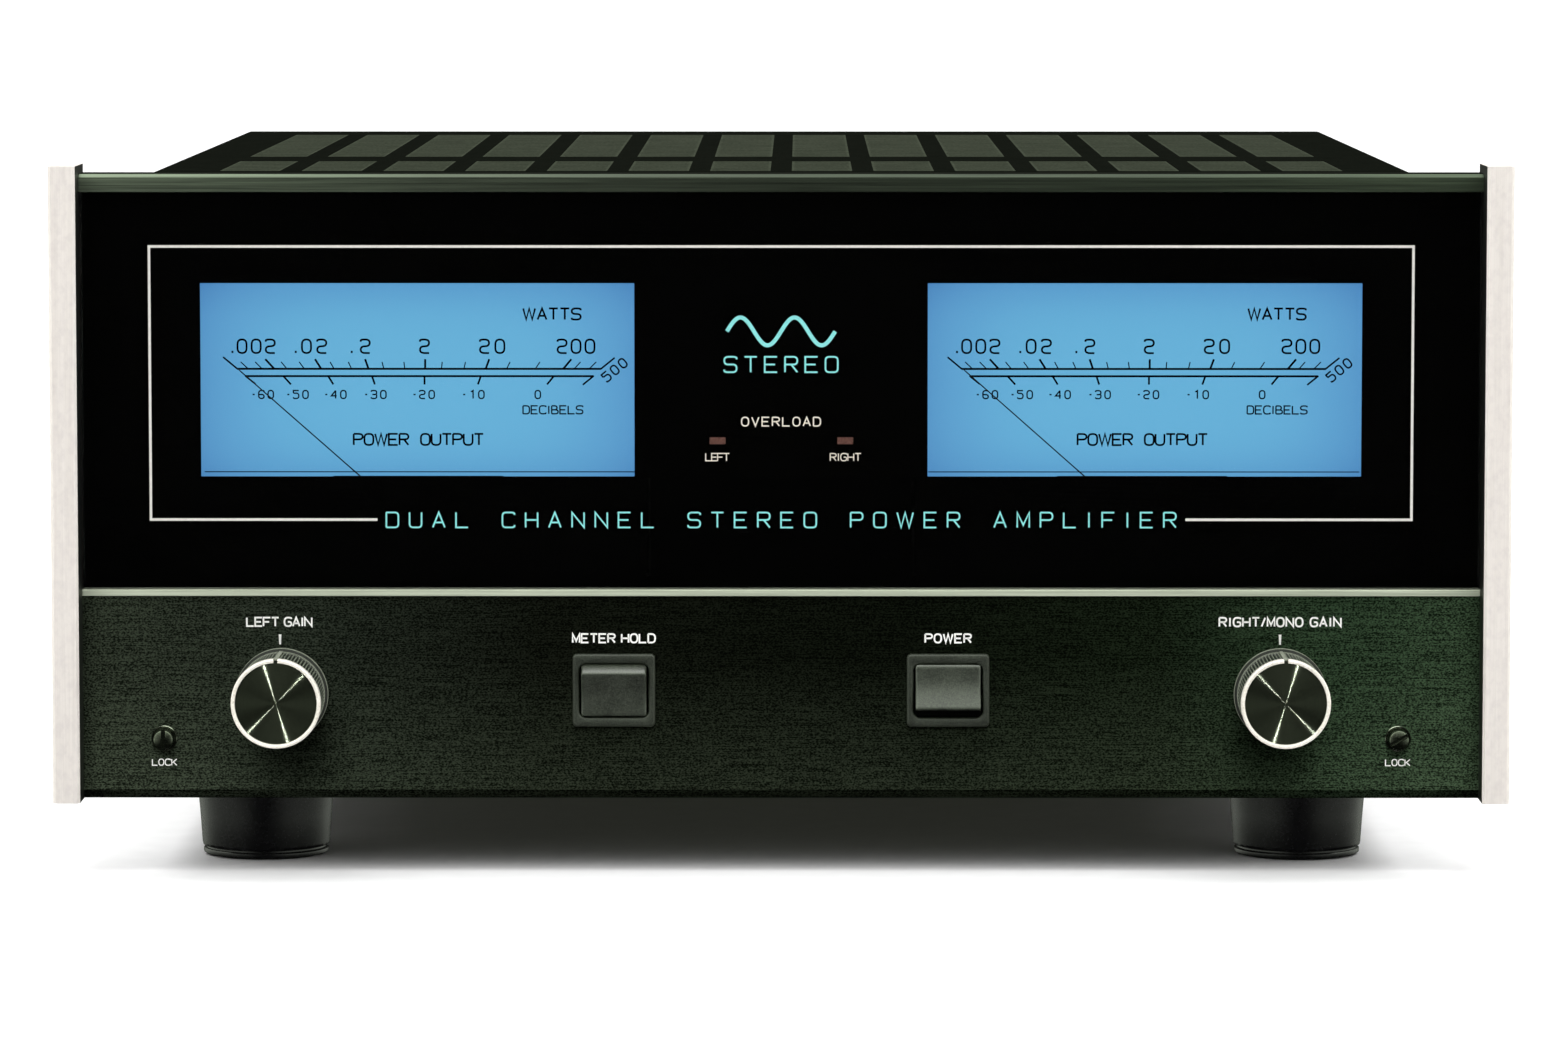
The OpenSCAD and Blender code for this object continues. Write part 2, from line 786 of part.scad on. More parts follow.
module fuse_holder() {
    body_l = 34;
    flange_r = 9;
    flange_t = 3;
    color("black")
        difference() {
            union() {
                backwards(fuse_x, case_d - body_l, socket_z) cylinder(r = fuse_r, h = body_l + eps);
                backwards(fuse_x, case_d, socket_z) cylinder(r = flange_r, h = flange_t);
            }
            backwards(fuse_x, case_d - body_l + 4, socket_z) cylinder(r = fuse_bore_r, h = body_l + flange_t);
        }
}

module fuse_cap() {
    cap_l = 7;
    shank_l = 22;
    flange_t = 3;
    gap = 0.3;
    slot_w = 1.4;
    color("dimgray")
        difference() {
            union() {
                backwards(fuse_x, case_d + flange_t - shank_l, socket_z)
                    cylinder(r = fuse_bore_r - fuse_clear, h = shank_l + gap + eps);
                backwards(fuse_x, case_d + flange_t + gap, socket_z) cylinder(r = 7, h = cap_l);
            }
            slab([fuse_x - 8, case_d + flange_t + gap + cap_l - 1.2, socket_z - slot_w / 2],
                 [fuse_x + 8, case_d + flange_t + gap + cap_l + 1, socket_z + slot_w / 2]);
        }
}

module mode_switch_body() {
    body_w = 30;
    body_h = 13;
    body_l = 9;
    color("silver")
        difference() {
            slab([mode_x - body_w / 2, rear_in_d - body_l, socket_z - body_h / 2],
                 [mode_x + body_w / 2, rear_in_d, socket_z + body_h / 2]);
            slab([mode_x - mode_slot_w / 2, rear_in_d - 6, socket_z - mode_slot_h / 2],
                 [mode_x + mode_slot_w / 2, rear_in_d + 1, socket_z + mode_slot_h / 2]);
        }
}

module mode_slider() {
    clear = 0.3;
    proud = 3;
    x = mode_x - slider_travel;
    color("black")
        slab([x - slider_w / 2, rear_in_d - 6 + clear, socket_z - mode_slot_h / 2 + clear],
             [x + slider_w / 2, case_d + proud, socket_z + mode_slot_h / 2 - clear]);
}

// ---- inside ----

module power_transformer() {
    core_w = 112;
    core_l = 74;
    core_h = 96;
    coil_w = 74;
    coil_l = 104;
    coil_h = 62;
    foot_t = 3;
    color("dimgray")
        union() {
            slab([-core_w / 2, transformer_d - core_l / 2, floor_top],
                 [core_w / 2, transformer_d + core_l / 2, floor_top + core_h]);
            slab([-coil_w / 2, transformer_d - coil_l / 2, floor_top + (core_h - coil_h) / 2],
                 [coil_w / 2, transformer_d + coil_l / 2, floor_top + (core_h + coil_h) / 2]);
            slab([-core_w / 2 - 12, transformer_d - core_l / 2 + 6, floor_top],
                 [core_w / 2 + 12, transformer_d + core_l / 2 - 6, floor_top + foot_t]);
        }
}

module filter_capacitors() {
    height = 112;
    stud_x = 11;
    color("steelblue")
        for (side = [-1, 1])
            translate([side * capacitor_x, y_at(capacitor_d), floor_top]) {
                cylinder(r = capacitor_r, h = height);
                cylinder(r = capacitor_r + 2.5, h = 18);
                for (stud = [-1, 1])
                    translate([stud * stud_x, 0, height - eps]) cylinder(r = 5, h = 6);
            }
}

module heat_sink(side) {
    fin_end = side * sink_fin_reach;
    base_in = side * sink_x;
    base_out = side * (sink_x + sink_base_t);
    base_low_x = min(base_in, base_out);
    base_high_x = max(base_in, base_out);
    fin_low_x = min(base_out, fin_end);
    fin_high_x = max(base_out, fin_end);
    color("dimgray") {
        slab([base_low_x, sink_start_d, floor_top], [base_high_x, sink_start_d + sink_l, sink_top]);
        for (n = [0 : sink_fins - 1])
            slab([fin_low_x - eps, sink_start_d + n * sink_fin_pitch, sink_fin_low],
                 [fin_high_x + eps, sink_start_d + n * sink_fin_pitch + sink_fin_t, sink_top]);
    }
}

module output_transistors() {
    plate_t = 1.6;
    can_r = 10;
    can_h = 7;
    color("silver")
        for (side = [-1, 1], n = [0 : 3])
            translate([side * sink_x, y_at(sink_start_d + 28 + n * 50), 150]) rotate([0, -side * 90, 0]) {
                linear_extrude(plate_t) round_rect(26, 38, 9);
                cylinder(r = can_r, h = can_h);
            }
}

module driver_boards() {
    standoff = 14;
    board_low = 44;
    board_high = 122;
    start_d = sink_start_d + 70;
    end_d = sink_start_d + sink_l - 10;
    color("darkgreen")
        for (side = [-1, 1]) {
            face_x = side * (sink_x - standoff);
            slab([min(face_x, face_x - side * board_t), start_d, board_low],
                 [max(face_x, face_x - side * board_t), end_d, board_high]);
            for (d = [start_d + 6, end_d - 6], z = [board_low + 6, board_high - 6])
                translate([face_x, y_at(d), z]) rotate([0, side * 90, 0]) cylinder(r = 3, h = standoff);
            for (n = [0 : 4])
                translate([face_x - side * board_t, y_at(start_d + 16 + n * 24), 96]) rotate([0, -side * 90, 0])
                    cylinder(r = 5 - (n % 2) * 1.5, h = 11);
        }
}

module input_board() {
    color("darkgreen") {
        slab([jack_x[0] - 18, input_board_d, socket_z - 30], [jack_x[1] + 18, input_board_d + board_t, socket_z + 25]);
        for (n = [0 : 3])
            slab([jack_x[0] - 12 + n * 15, input_board_d - 9, socket_z - 24],
                 [jack_x[0] - 4 + n * 15, input_board_d + eps, socket_z - 14]);
        for (side = [-1, 1])
            slab([(jack_x[0] + jack_x[1]) / 2 + side * 26 - 4, input_board_d + board_t - eps, socket_z - 29],
                 [(jack_x[0] + jack_x[1]) / 2 + side * 26 + 4, rear_in_d, socket_z - 23]);
    }
}

module supply_board() {
    half_w = 84;
    standoff_h = 8;
    board_z = floor_top + standoff_h;
    color("darkgreen") {
        slab([-half_w, supply_d[0], board_z], [half_w, supply_d[1], board_z + board_t]);
        for (x = [-half_w + 7, half_w - 7], d = [supply_d[0] + 7, supply_d[1] - 7])
            translate([x, y_at(d), floor_top]) cylinder(r = 4, h = standoff_h + eps);
        slab([-14, supply_d[0] + 10, board_z + board_t - eps], [14, supply_d[0] + 38, board_z + board_t + 11]);
        for (side = [-1, 1]) {
            slab([side * 48 - 13, supply_d[0] + 14, board_z + board_t - eps],
                 [side * 48 + 13, supply_d[0] + 34, board_z + board_t + 18]);
            for (n = [0 : 2])
                translate([side * (24 + n * 20), y_at(supply_d[1] - 18), board_z + board_t - eps])
                    cylinder(r = 6.5, h = 17);
        }
    }
}

// Looms of wire: each is a route of [x, d, z] points that a round tube follows
loom_r = 2.6;
loom_sides = 8;
loom_routes = [
    [[132, 346, 75], [132, 338, 72], [133, 332, 58], [138, 324, 42], [145, 312, 33], [145, 290, 31],
     [145, 240, 31], [145, 180, 31], [145, 120, 31], [144, 88, 31], [132, 68, 34], [110, 58, 39],
     [94, 52, 42], [88, 46, 42], [84, 38, 43], [74, 34.5, 48], [60, 34.5, 52.5], [52, 34.2, 52.5]],
    [[-130, 334, 58], [-136, 326, 44], [-145, 312, 33], [-145, 290, 31], [-145, 240, 31], [-145, 180, 31],
     [-145, 120, 31], [-144, 88, 31], [-132, 68, 34], [-110, 58, 39], [-94, 52, 42], [-88, 46, 42],
     [-90, 38, 42], [-104, 32, 40], [-124, 28, 38], [-136, 25, 37]]
];

function route_step(route, i) =
    route[min(i + 1, len(route) - 1)] - route[max(i - 1, 0)];
function unit(v) = v / norm(v);
function ring_side(t) = unit(cross(t, abs(t[2]) > 0.9 * norm(t) ? [1, 0, 0] : [0, 0, 1]));
function ring_point(centre, t, a, r) =
    let (u = ring_side(t), v = unit(cross(t, u)))
    [centre[0], y_at(centre[1]), centre[2]] + r * (cos(a) * u + sin(a) * v);

module loom(route, r) {
    rings = len(route);
    points = [
        for (i = [0 : rings - 1], k = [0 : loom_sides - 1])
            ring_point(route[i], route_step(route, i), k * 360 / loom_sides, r)
    ];
    walls = [
        for (i = [0 : rings - 2], k = [0 : loom_sides - 1])
            let (next = (k + 1) % loom_sides)
            [i * loom_sides + k, i * loom_sides + next,
             (i + 1) * loom_sides + next, (i + 1) * loom_sides + k]
    ];
    front = [[for (k = [loom_sides - 1 : -1 : 0]) k]];
    back = [[for (k = [0 : loom_sides - 1]) (rings - 1) * loom_sides + k]];
    polyhedron(points, concat(walls, front, back));
}

module wiring_harness() {
    color("maroon")
        for (route = loom_routes) loom(route, loom_r);
}

end_cap(-1);  // end_cap_left
end_cap(1);  // end_cap_right
top_rail();
glass_panel();
glass_mask();
accent_strip();
lower_panel();
meter_housing(-1);  // left_meter_housing
meter_housing(1);  // right_meter_housing
meter_face(-1);  // left_meter_face
meter_face(1);  // right_meter_face
needle(-1);  // left_needle
needle(1);  // right_needle
meter_movements();
meter_lamps();
overload_leds();
gain_knob(-1);  // left_gain_knob
gain_knob(1);  // right_gain_knob
gain_shaft(-1);  // left_gain_shaft
gain_shaft(1);  // right_gain_shaft
gain_pots();
switch_housing(-1);  // meter_hold_housing
rocker(-1, 1);  // meter_hold_rocker
switch_housing(1);  // power_switch_housing
rocker(1, -1);  // power_rocker
lock_stud(-1, 0);  // left_lock_stud
lock_stud(1, 60);  // right_lock_stud
front_subpanel();
chassis_floor();
side_panel(-1);  // left_side_panel
side_panel(1);  // right_side_panel
rear_panel();
top_cover();
vent_screen();
case_screws();
foot(-1, foot_front_d);  // foot_front_left
foot(1, foot_front_d);  // foot_front_right
foot(-1, foot_rear_d);  // foot_rear_left
foot(1, foot_rear_d);  // foot_rear_right
foot_pads();
input_jacks();
speaker_posts();
post_cap(1);  // post_cap_1
post_cap(2);  // post_cap_2
post_cap(3);  // post_cap_3
post_cap(4);  // post_cap_4
power_inlet();
fuse_holder();
fuse_cap();
mode_switch_body();
mode_slider();
power_transformer();
filter_capacitors();
heat_sink(-1);  // left_heat_sink
heat_sink(1);  // right_heat_sink
output_transistors();
driver_boards();
input_board();
supply_board();
wiring_harness();
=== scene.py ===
"""The looks of a stereo power amplifier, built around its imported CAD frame.

Places are those of the CAD frame: X to the right, Y from front to back, Z up. Nodes' corners,
joints' places and the shapes of pieces are in millimetres, and make() turns them into metres.
"""
import json
import math

import bmesh
import bpy
from mathutils import Matrix, Vector


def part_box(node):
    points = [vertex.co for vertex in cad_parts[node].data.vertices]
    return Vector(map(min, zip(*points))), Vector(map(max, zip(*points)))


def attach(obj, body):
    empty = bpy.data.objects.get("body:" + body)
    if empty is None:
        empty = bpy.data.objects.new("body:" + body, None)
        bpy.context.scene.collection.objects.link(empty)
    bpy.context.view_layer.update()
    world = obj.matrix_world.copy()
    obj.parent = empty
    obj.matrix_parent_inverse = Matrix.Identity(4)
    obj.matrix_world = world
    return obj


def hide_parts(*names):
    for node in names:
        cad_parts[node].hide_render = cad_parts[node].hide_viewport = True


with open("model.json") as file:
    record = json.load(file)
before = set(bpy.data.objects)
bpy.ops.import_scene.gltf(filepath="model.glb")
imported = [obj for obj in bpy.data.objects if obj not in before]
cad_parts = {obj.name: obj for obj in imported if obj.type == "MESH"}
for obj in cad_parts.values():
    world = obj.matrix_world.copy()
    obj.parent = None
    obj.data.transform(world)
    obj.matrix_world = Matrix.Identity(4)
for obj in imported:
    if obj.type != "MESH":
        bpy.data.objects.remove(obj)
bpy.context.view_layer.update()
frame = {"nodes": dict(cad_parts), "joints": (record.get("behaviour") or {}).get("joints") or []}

MM = 0.001
KNURL_RADIUS = 12.35
FLANK_SLOPE = 0.25
RINGS_PER_METRE = 6000
scene = bpy.context.scene

# ---- places taken from the frame ----


def box(node):
    """A node's lowest and highest corners at rest."""
    return [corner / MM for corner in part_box(node)]


def low(node):
    return box(node)[0]


def high(node):
    return box(node)[1]


def middle(node):
    return (low(node) + high(node)) / 2


def depth_of(node):
    return high(node).y - low(node).y


joint_points = {joint["name"]: Vector(joint["pos_m"]) / MM for joint in frame["joints"] if "pos_m" in joint}
front_y = low("end_cap_left").y
mask_y = low("glass_mask").y
panel_y = low("lower_panel").y
rear_y = high("rear_panel").y

# ---- camera ----


def put_in_scene(name, data):
    thing = bpy.data.objects.new(name, data)
    scene.collection.objects.link(thing)
    return thing


CAMERA_DISTANCE = 1.984
camera_data = bpy.data.cameras.new("camera")
camera_data.sensor_width = 36
camera_data.lens = 161.5
camera = put_in_scene("camera", camera_data)
camera.location = (0.0055, front_y * MM - CAMERA_DISTANCE, 0.2784)
camera.rotation_euler = Vector((-0.0029, 1, -0.0887)).to_track_quat("-Z", "Y").to_euler()
scene.camera = camera
scene.view_settings.view_transform = "Standard"

# ---- node trees ----


def rgb(red, green, blue):
    """A linear colour from 0 to 255 display values."""
    shares = [value / 255 for value in (red, green, blue)]
    return tuple(share / 12.92 if share < 0.04045 else ((share + 0.055) / 1.055) ** 2.4 for share in shares)


class Nodes:
    """A node tree, built by calls that each add a node and give back one of its outputs."""

    def __init__(self, tree):
        self.tree = tree

    def put(self, value, socket):
        """Gives a socket its value: an output to link, a colour or a number."""
        if isinstance(value, bpy.types.NodeSocket):
            self.tree.links.new(value, socket)
        else:
            socket.default_value = (*value, 1) if isinstance(value, tuple) else value

    def add(self, kind, inputs, output=0, **settings):
        """A new shader node with its inputs and settings, and one of its outputs."""
        node = self.tree.nodes.new("ShaderNode" + kind)
        for name, value in settings.items():
            setattr(node, name, value)
        for name, value in inputs.items():
            self.put(value, node.inputs[name])
        return node.outputs[output]

    def math(self, operation, *values):
        return self.add("Math", dict(enumerate(values)), operation=operation)

    def plus(self, *terms):
        return self.math("ADD", *terms)

    def minus(self, *terms):
        return self.math("SUBTRACT", *terms)

    def times(self, *factors):
        return self.math("MULTIPLY", *factors)

    def mix(self, first, second, share):
        """Two numbers in one, with the second one's share."""
        return self.plus(self.times(first, 1 - share), self.times(second, share))

    def spread(self, factor, start, end, first, last, curve="LINEAR"):
        """A number that goes from first to last as factor goes from start to end, and stays there."""
        inputs = {"Value": factor, "From Min": start, "From Max": end, "To Min": first, "To Max": last}
        return self.add("MapRange", inputs, interpolation_type=curve)

    def blend(self, factor, first, second, kind="MIX"):
        """Second laid over first by factor; each is a colour or an output."""
        inputs = {0: factor, 6: first, 7: second}
        return self.add("Mix", inputs, 2, data_type="RGBA", blend_type=kind)


# ---- materials ----

FINISHES = {}


class Finish(Nodes):
    """A procedural material: one Principled shader and the nodes that vary it over the surface."""

    def __init__(self, name, **sockets):
        material = bpy.data.materials.new(name)
        material.use_nodes = True
        FINISHES[name] = material
        super().__init__(material.node_tree)
        self.shader = self.tree.nodes["Principled BSDF"]
        for socket, value in sockets.items():
            self.shader.inputs[socket.replace("_", " ")].default_value = value
        self.position = self.add("TexCoord", {}, "Object")

    def drive(self, socket, value):
        self.put(value, self.shader.inputs[socket])

    def cover(self, share, colour, kind="MIX"):
        """Lays a colour over the base colour by its share."""
        under = self.shader.inputs["Base Color"].links[0].from_socket
        self.drive("Base Color", self.blend(share, under, colour, kind))

    def scaled(self, size, stretch=(1, 1, 1)):
        """The position in steps of size millimetres, longer by the stretch on each axis."""
        scale = [1 / (size * MM * factor) for factor in stretch]
        return self.add("Mapping", {"Vector": self.position, "Scale": scale})

    def noise(self, size, stretch=(1, 1, 1), detail=2.0):
        """Noise from 0 to 1 with features of about that size."""
        inputs = {"Vector": self.scaled(size, stretch), "Scale": 1, "Detail": detail}
        return self.add("TexNoise", inputs)

    def cells(self, size, output="Distance", feature="F1"):
        """Voronoi cells of about that size."""
        inputs = {"Vector": self.scaled(size), "Scale": 1}
        return self.add("TexVoronoi", inputs, output, feature=feature)

    def axis(self, letter):
        """The position along one axis, in metres."""
        return self.add("SeparateXYZ", {0: self.position}, letter)

    def radius(self):
        """The distance from the local Z axis, in metres."""
        squares = [self.math("POWER", self.axis(letter), 2) for letter in "XY"]
        return self.math("SQRT", self.plus(*squares))

    def ramp(self, factor, stops):
        """A colour that follows (place, colour) stops as factor grows."""
        colour = self.add("ValToRGB", {"Fac": factor})
        elements = colour.node.color_ramp.elements
        while len(elements) < len(stops):
            elements.new(0.5)
        for element, (place, tone) in zip(elements, stops):
            element.position = place
            element.color = (*tone, 1)
        return colour

    def mottle(self, pattern, edge, dark, light, gloss):
        """Colour and gloss that follow one pattern."""
        self.drive("Base Color", self.ramp(pattern, [(edge, rgb(*dark)), (1 - edge, rgb(*light))]))
        self.drive("Roughness", self.spread(pattern, 0.3, 0.7, *gloss))

    def bump(self, height, depth):
        """Relief that follows height, as deep as depth in millimetres."""
        inputs = {"Height": height, "Strength": 1, "Distance": depth * MM}
        self.drive("Normal", self.add("Bump", inputs))

    def turned(self):
        """Runs the shader's brushing round the local Z axis."""
        self.drive("Tangent", self.add("Tangent", {}, direction_type="RADIAL", axis="Z"))


def grained(name, dark, light, gloss, size, depth, metallic=0.0, specular=0.5, stretch=(1, 1, 1)):
    """Paint, plastic or metal with a mottled colour, uneven gloss and a fine grain of one size."""
    finish = Finish(name, Metallic=metallic, Specular_IOR_Level=specular)
    fine = finish.noise(size, stretch, 3.0)
    both = finish.mix(finish.noise(size * 14, stretch), fine, 0.75)
    finish.mottle(both, 0.36, dark, light, gloss)
    finish.bump(fine, depth)
    return finish


def brushed(name, dark, light, gloss, along, depth, metallic, line=0.35):
    """Metal with hairlines that run along one axis."""
    finish = Finish(name, Metallic=metallic)
    stretch = [90 if letter == along else 1 for letter in "XYZ"]
    both = finish.mix(finish.noise(line, stretch), finish.noise(line * 4, stretch, 1.0), 0.35)
    finish.mottle(both, 0.32, dark, light, gloss)
    finish.bump(both, depth)
    return finish


def lit_print(name, colour, glow):
    """Screen print on the glass, seen with a little light of its own."""
    finish = Finish(name, Roughness=0.6, Emission_Strength=glow)
    full = rgb(*colour)
    ink = finish.ramp(finish.noise(0.9), [(0.3, tuple(0.9 * part for part in full)), (0.7, full)])
    finish.drive("Base Color", ink)
    finish.drive("Emission Color", ink)


def end_cap_finish():
    """Bright satin metal whose face towards the glass is black."""
    finish = brushed("satin_silver", (222, 215, 209), (233, 226, 221), (0.38, 0.52), "Z", 0.006, 0.25)
    clouds = finish.noise(1.6, (1, 1, 1.5), 4.0)
    finish.cover(finish.spread(clouds, 0.42, 0.7, 0.0, 0.4), rgb(206, 198, 196))
    inner_x = (abs(low("end_cap_right").x) + 0.05) * MM
    inner = finish.math("LESS_THAN", finish.math("ABSOLUTE", finish.axis("X")), inner_x)
    finish.cover(inner, rgb(12, 12, 11))


def panel_finish():
    """Black brushed metal, greenish, a little paler towards its lower edge; a painted reflection makes it
    paler towards its ends.
    """
    finish = Finish("brushed_black", Metallic=1.0, Anisotropic=0.8, Anisotropic_Rotation=0.25)
    hairs = finish.noise(0.3, (60, 1, 1))
    # Painted reflection: the colour grows paler towards both ends, standing in for bright side light mirrored
    # by the brushed metal.
    across = finish.spread(finish.axis("X"), -0.2, 0.2, 0.0, 1.0)
    tone = finish.ramp(across, [(0.0, rgb(90, 98, 85)), (0.15, rgb(70, 77, 68)), (0.33, rgb(38, 41, 34)),
                                (0.6, rgb(31, 36, 28)), (0.77, rgb(46, 57, 42)), (0.9, rgb(78, 102, 78)),
                                (1.0, rgb(96, 120, 94))])
    floor_z = low("lower_panel").z * MM
    foot = finish.spread(finish.axis("Z"), floor_z, floor_z + 0.04, 1.0, 0.0)
    finish.drive("Base Color", tone)
    finish.cover(foot, rgb(66, 73, 61), "ADD")
    mottle = finish.mix(hairs, finish.noise(0.4, (1.5, 1, 1)), 0.65)
    finish.cover(finish.spread(mottle, 0.42, 0.6, 0.9, 0.0), rgb(4, 5, 3))
    finish.drive("Roughness", finish.spread(mottle, 0.3, 0.7, 0.36, 0.46))
    finish.bump(hairs, 0.004)
    finish.turned()


def rail_finish():
    """Dark brushed metal of the top rail, with a painted reflection that makes it paler to the left, and a
    painted highlight as a bright line along its front edge.
    """
    finish = brushed("rail_black", (72, 80, 68), (116, 127, 109), (0.42, 0.55), "X", 0.01, 0.75, 0.4)
    # Painted reflection: paler towards the left end and darker in the middle, standing in for light the rail
    # mirrors.
    across = finish.spread(finish.axis("X"), -0.2, 0.2, 0.0, 1.0)
    tone = finish.ramp(across, [(0.0, (1, 1, 1)), (0.1, (0.72, 0.73, 0.72)), (0.25, (0.4, 0.4, 0.4)),
                                (0.5, (0.24, 0.25, 0.24)), (0.8, (0.24, 0.26, 0.24)),
                                (1.0, (0.37, 0.41, 0.36))])
    finish.cover(1.0, tone, "MULTIPLY")
    at_top = finish.math("GREATER_THAN", finish.axis("Z"), (high("top_rail").z - 0.18) * MM)
    at_front = finish.math("LESS_THAN", finish.axis("Y"), (low("top_rail").y + 0.35) * MM)
    # Painted highlight: a near-white line along the top front edge, where the bevel would catch the light.
    line = finish.times(at_top, at_front)
    flat = finish.minus(at_top, line)
    finish.cover(flat, rgb(20, 22, 18))
    finish.cover(line, rgb(238, 242, 228))
    finish.drive("Metallic", finish.spread(flat, 0.0, 1.0, 0.75, 0.0))
    finish.drive("Specular IOR Level", finish.spread(flat, 0.0, 1.0, 0.5, 0.0))


def glass_finish():
    """Front glass: clear over the printed mask, with faint smears in its gloss."""
    finish = Finish("front_glass", Base_Color=(0.001, 0.001, 0.001, 1), Alpha=0.25, IOR=1.5)
    finish.drive("Roughness", finish.spread(finish.noise(30, (1, 1, 2), 3.0), 0.4, 0.8, 0.02, 0.07))


def meter_finish():
    """Blue face with a painted glow for the lamps behind it, palest in the middle and deeper towards its
    edges.
    """
    finish = Finish("meter_blue", Roughness=0.7, Emission_Strength=1.68)
    face_low, face_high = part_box("right_meter_face")
    centre = (face_low + face_high) / 2
    half = (face_high - face_low) / 2
    across = finish.minus(finish.math("ABSOLUTE", finish.axis("X")), centre.x)
    across = finish.math("DIVIDE", across, half.x)
    up = finish.math("DIVIDE", finish.minus(finish.axis("Z"), centre.z), half.z)
    reach = finish.plus(finish.math("POWER", across, 4), finish.math("POWER", up, 4))
    paper = finish.times(finish.noise(0.5, detail=3.0), 0.16)
    shade = finish.plus(finish.times(reach, 0.55), paper)
    blue = finish.ramp(shade, [(0.0, rgb(104, 181, 219)), (0.3, rgb(94, 163, 209)), (0.6, rgb(86, 149, 200)),
                               (1.0, rgb(72, 128, 184))])
    finish.drive("Base Color", blue)
    finish.cover(0.9, rgb(8, 16, 24))
    # The emission is a painted glow standing in for the lamps that light the face from behind.
    finish.drive("Emission Color", blue)


def spun_finish():
    """Black metal turned on a lathe: the flanks of rings too fine to see throw light in thin rays."""
    finish = Finish("spun_black", Metallic=1.0, Anisotropic=1.0, Anisotropic_Rotation=0.25)
    radius = finish.radius()
    rings = finish.add("TexNoise", {"W": radius, "Scale": RINGS_PER_METRE}, noise_dimensions="1D")
    finish.mottle(rings, 0.3, (44, 47, 40), (66, 70, 60), (0.13, 0.16))
    step = finish.times(radius, 1e6)
    outward = finish.math("GREATER_THAN", finish.add("TexWhiteNoise", {"W": step},
                                                     noise_dimensions="1D"), 0.5)
    tilt = finish.math("DIVIDE", finish.spread(outward, 0.0, 1.0, -FLANK_SLOPE, FLANK_SLOPE), radius)
    lean = {letter: finish.times(finish.axis(letter), tilt) for letter in "XY"}
    normal = finish.add("CombineXYZ", {**lean, "Z": 1})
    finish.drive("Normal", finish.add("VectorTransform", {0: normal}, vector_type="NORMAL",
                                      convert_from="OBJECT", convert_to="WORLD"))
    finish.turned()


def key_finish():
    """Satin black plastic; the lower end of a key, which faces the floor, is darkened by painted shade."""
    finish = grained("switch_black", (22, 26, 19), (62, 69, 56), (0.28, 0.4), 0.4, 0.012, specular=1.0)
    # Painted shade: the lower end of the key is made nearly black and less glossy, as if in shadow.
    under = finish.spread(finish.axis("Y"), -6.6 * MM, -6.1 * MM, 1.0, 0.0)
    finish.cover(under, rgb(2, 2, 2))
    finish.drive("Specular IOR Level", finish.spread(under, 0.0, 1.0, 1.0, 0.05))


def knob_finish():
    """Black turned metal with painted highlights on the knurled crests and the rim of the flange, and painted
    shade in the knurl's valleys.
    """
    finish = grained("knob_black", (22, 24, 20), (40, 43, 37), (0.28, 0.42), 0.3, 0.006)
    radius = finish.radius()

    def outside(reach):
        return finish.math("GREATER_THAN", radius, (KNURL_RADIUS + reach) * MM)

    def rise(start, end, first, last):
        return finish.spread(radius, (KNURL_RADIUS + start) * MM, (KNURL_RADIUS + end) * MM, first, last)

    inside = finish.minus(1, outside(0.1))
    # Painted highlight: the knurled crests and the flange rim are painted paler, standing in for glints.
    crest = finish.plus(outside(0.85), finish.times(inside, rise(-0.28, -0.02, 0.0, 1.0)))
    finish.cover(crest, rgb(132, 138, 122))
    # Painted shade: the knurl's valleys and the smaller radii of the barrel are painted nearly black.
    finish.cover(rise(-0.4, -0.2, 0.95, 0.0), rgb(5, 5, 4))


def board_finish():
    """A circuit board: green lacquer with tracks low down, and dark, pale and coloured components above."""
    finish = Finish("circuit_board", Roughness=0.45)
    tracks = finish.cells(6, feature="DISTANCE_TO_EDGE")
    lacquer = finish.ramp(tracks, [(0.05, rgb(64, 120, 74)), (0.09, rgb(24, 70, 42))])
    shade = finish.ramp(finish.cells(9, "Color"), [(0.2, rgb(28, 27, 26)), (0.45, rgb(150, 112, 66)),
                                                   (0.6, rgb(44, 58, 92)), (0.8, rgb(96, 34, 28))])
    dots = finish.math("LESS_THAN", finish.cells(3.5), 0.16)
    finish.drive("Base Color", lacquer)
    finish.cover(0.3, shade)
    finish.cover(dots, rgb(180, 180, 176))
    finish.bump(tracks, 0.1)


def lamination_finish():
    """Varnished transformer steel: thin stacked sheets."""
    finish = Finish("laminated_steel", Metallic=0.7)
    sheets = finish.noise(0.6, (60, 1, 60))
    rust = finish.noise(12, detail=4.0)
    steel = finish.ramp(sheets, [(0.35, rgb(44, 42, 40)), (0.65, rgb(92, 88, 84))])
    finish.drive("Base Color", steel)
    finish.cover(finish.spread(rust, 0.55, 0.8, 0.0, 0.5), rgb(84, 58, 44))
    finish.drive("Roughness", finish.spread(rust, 0.3, 0.7, 0.35, 0.6))
    finish.bump(sheets, 0.12)


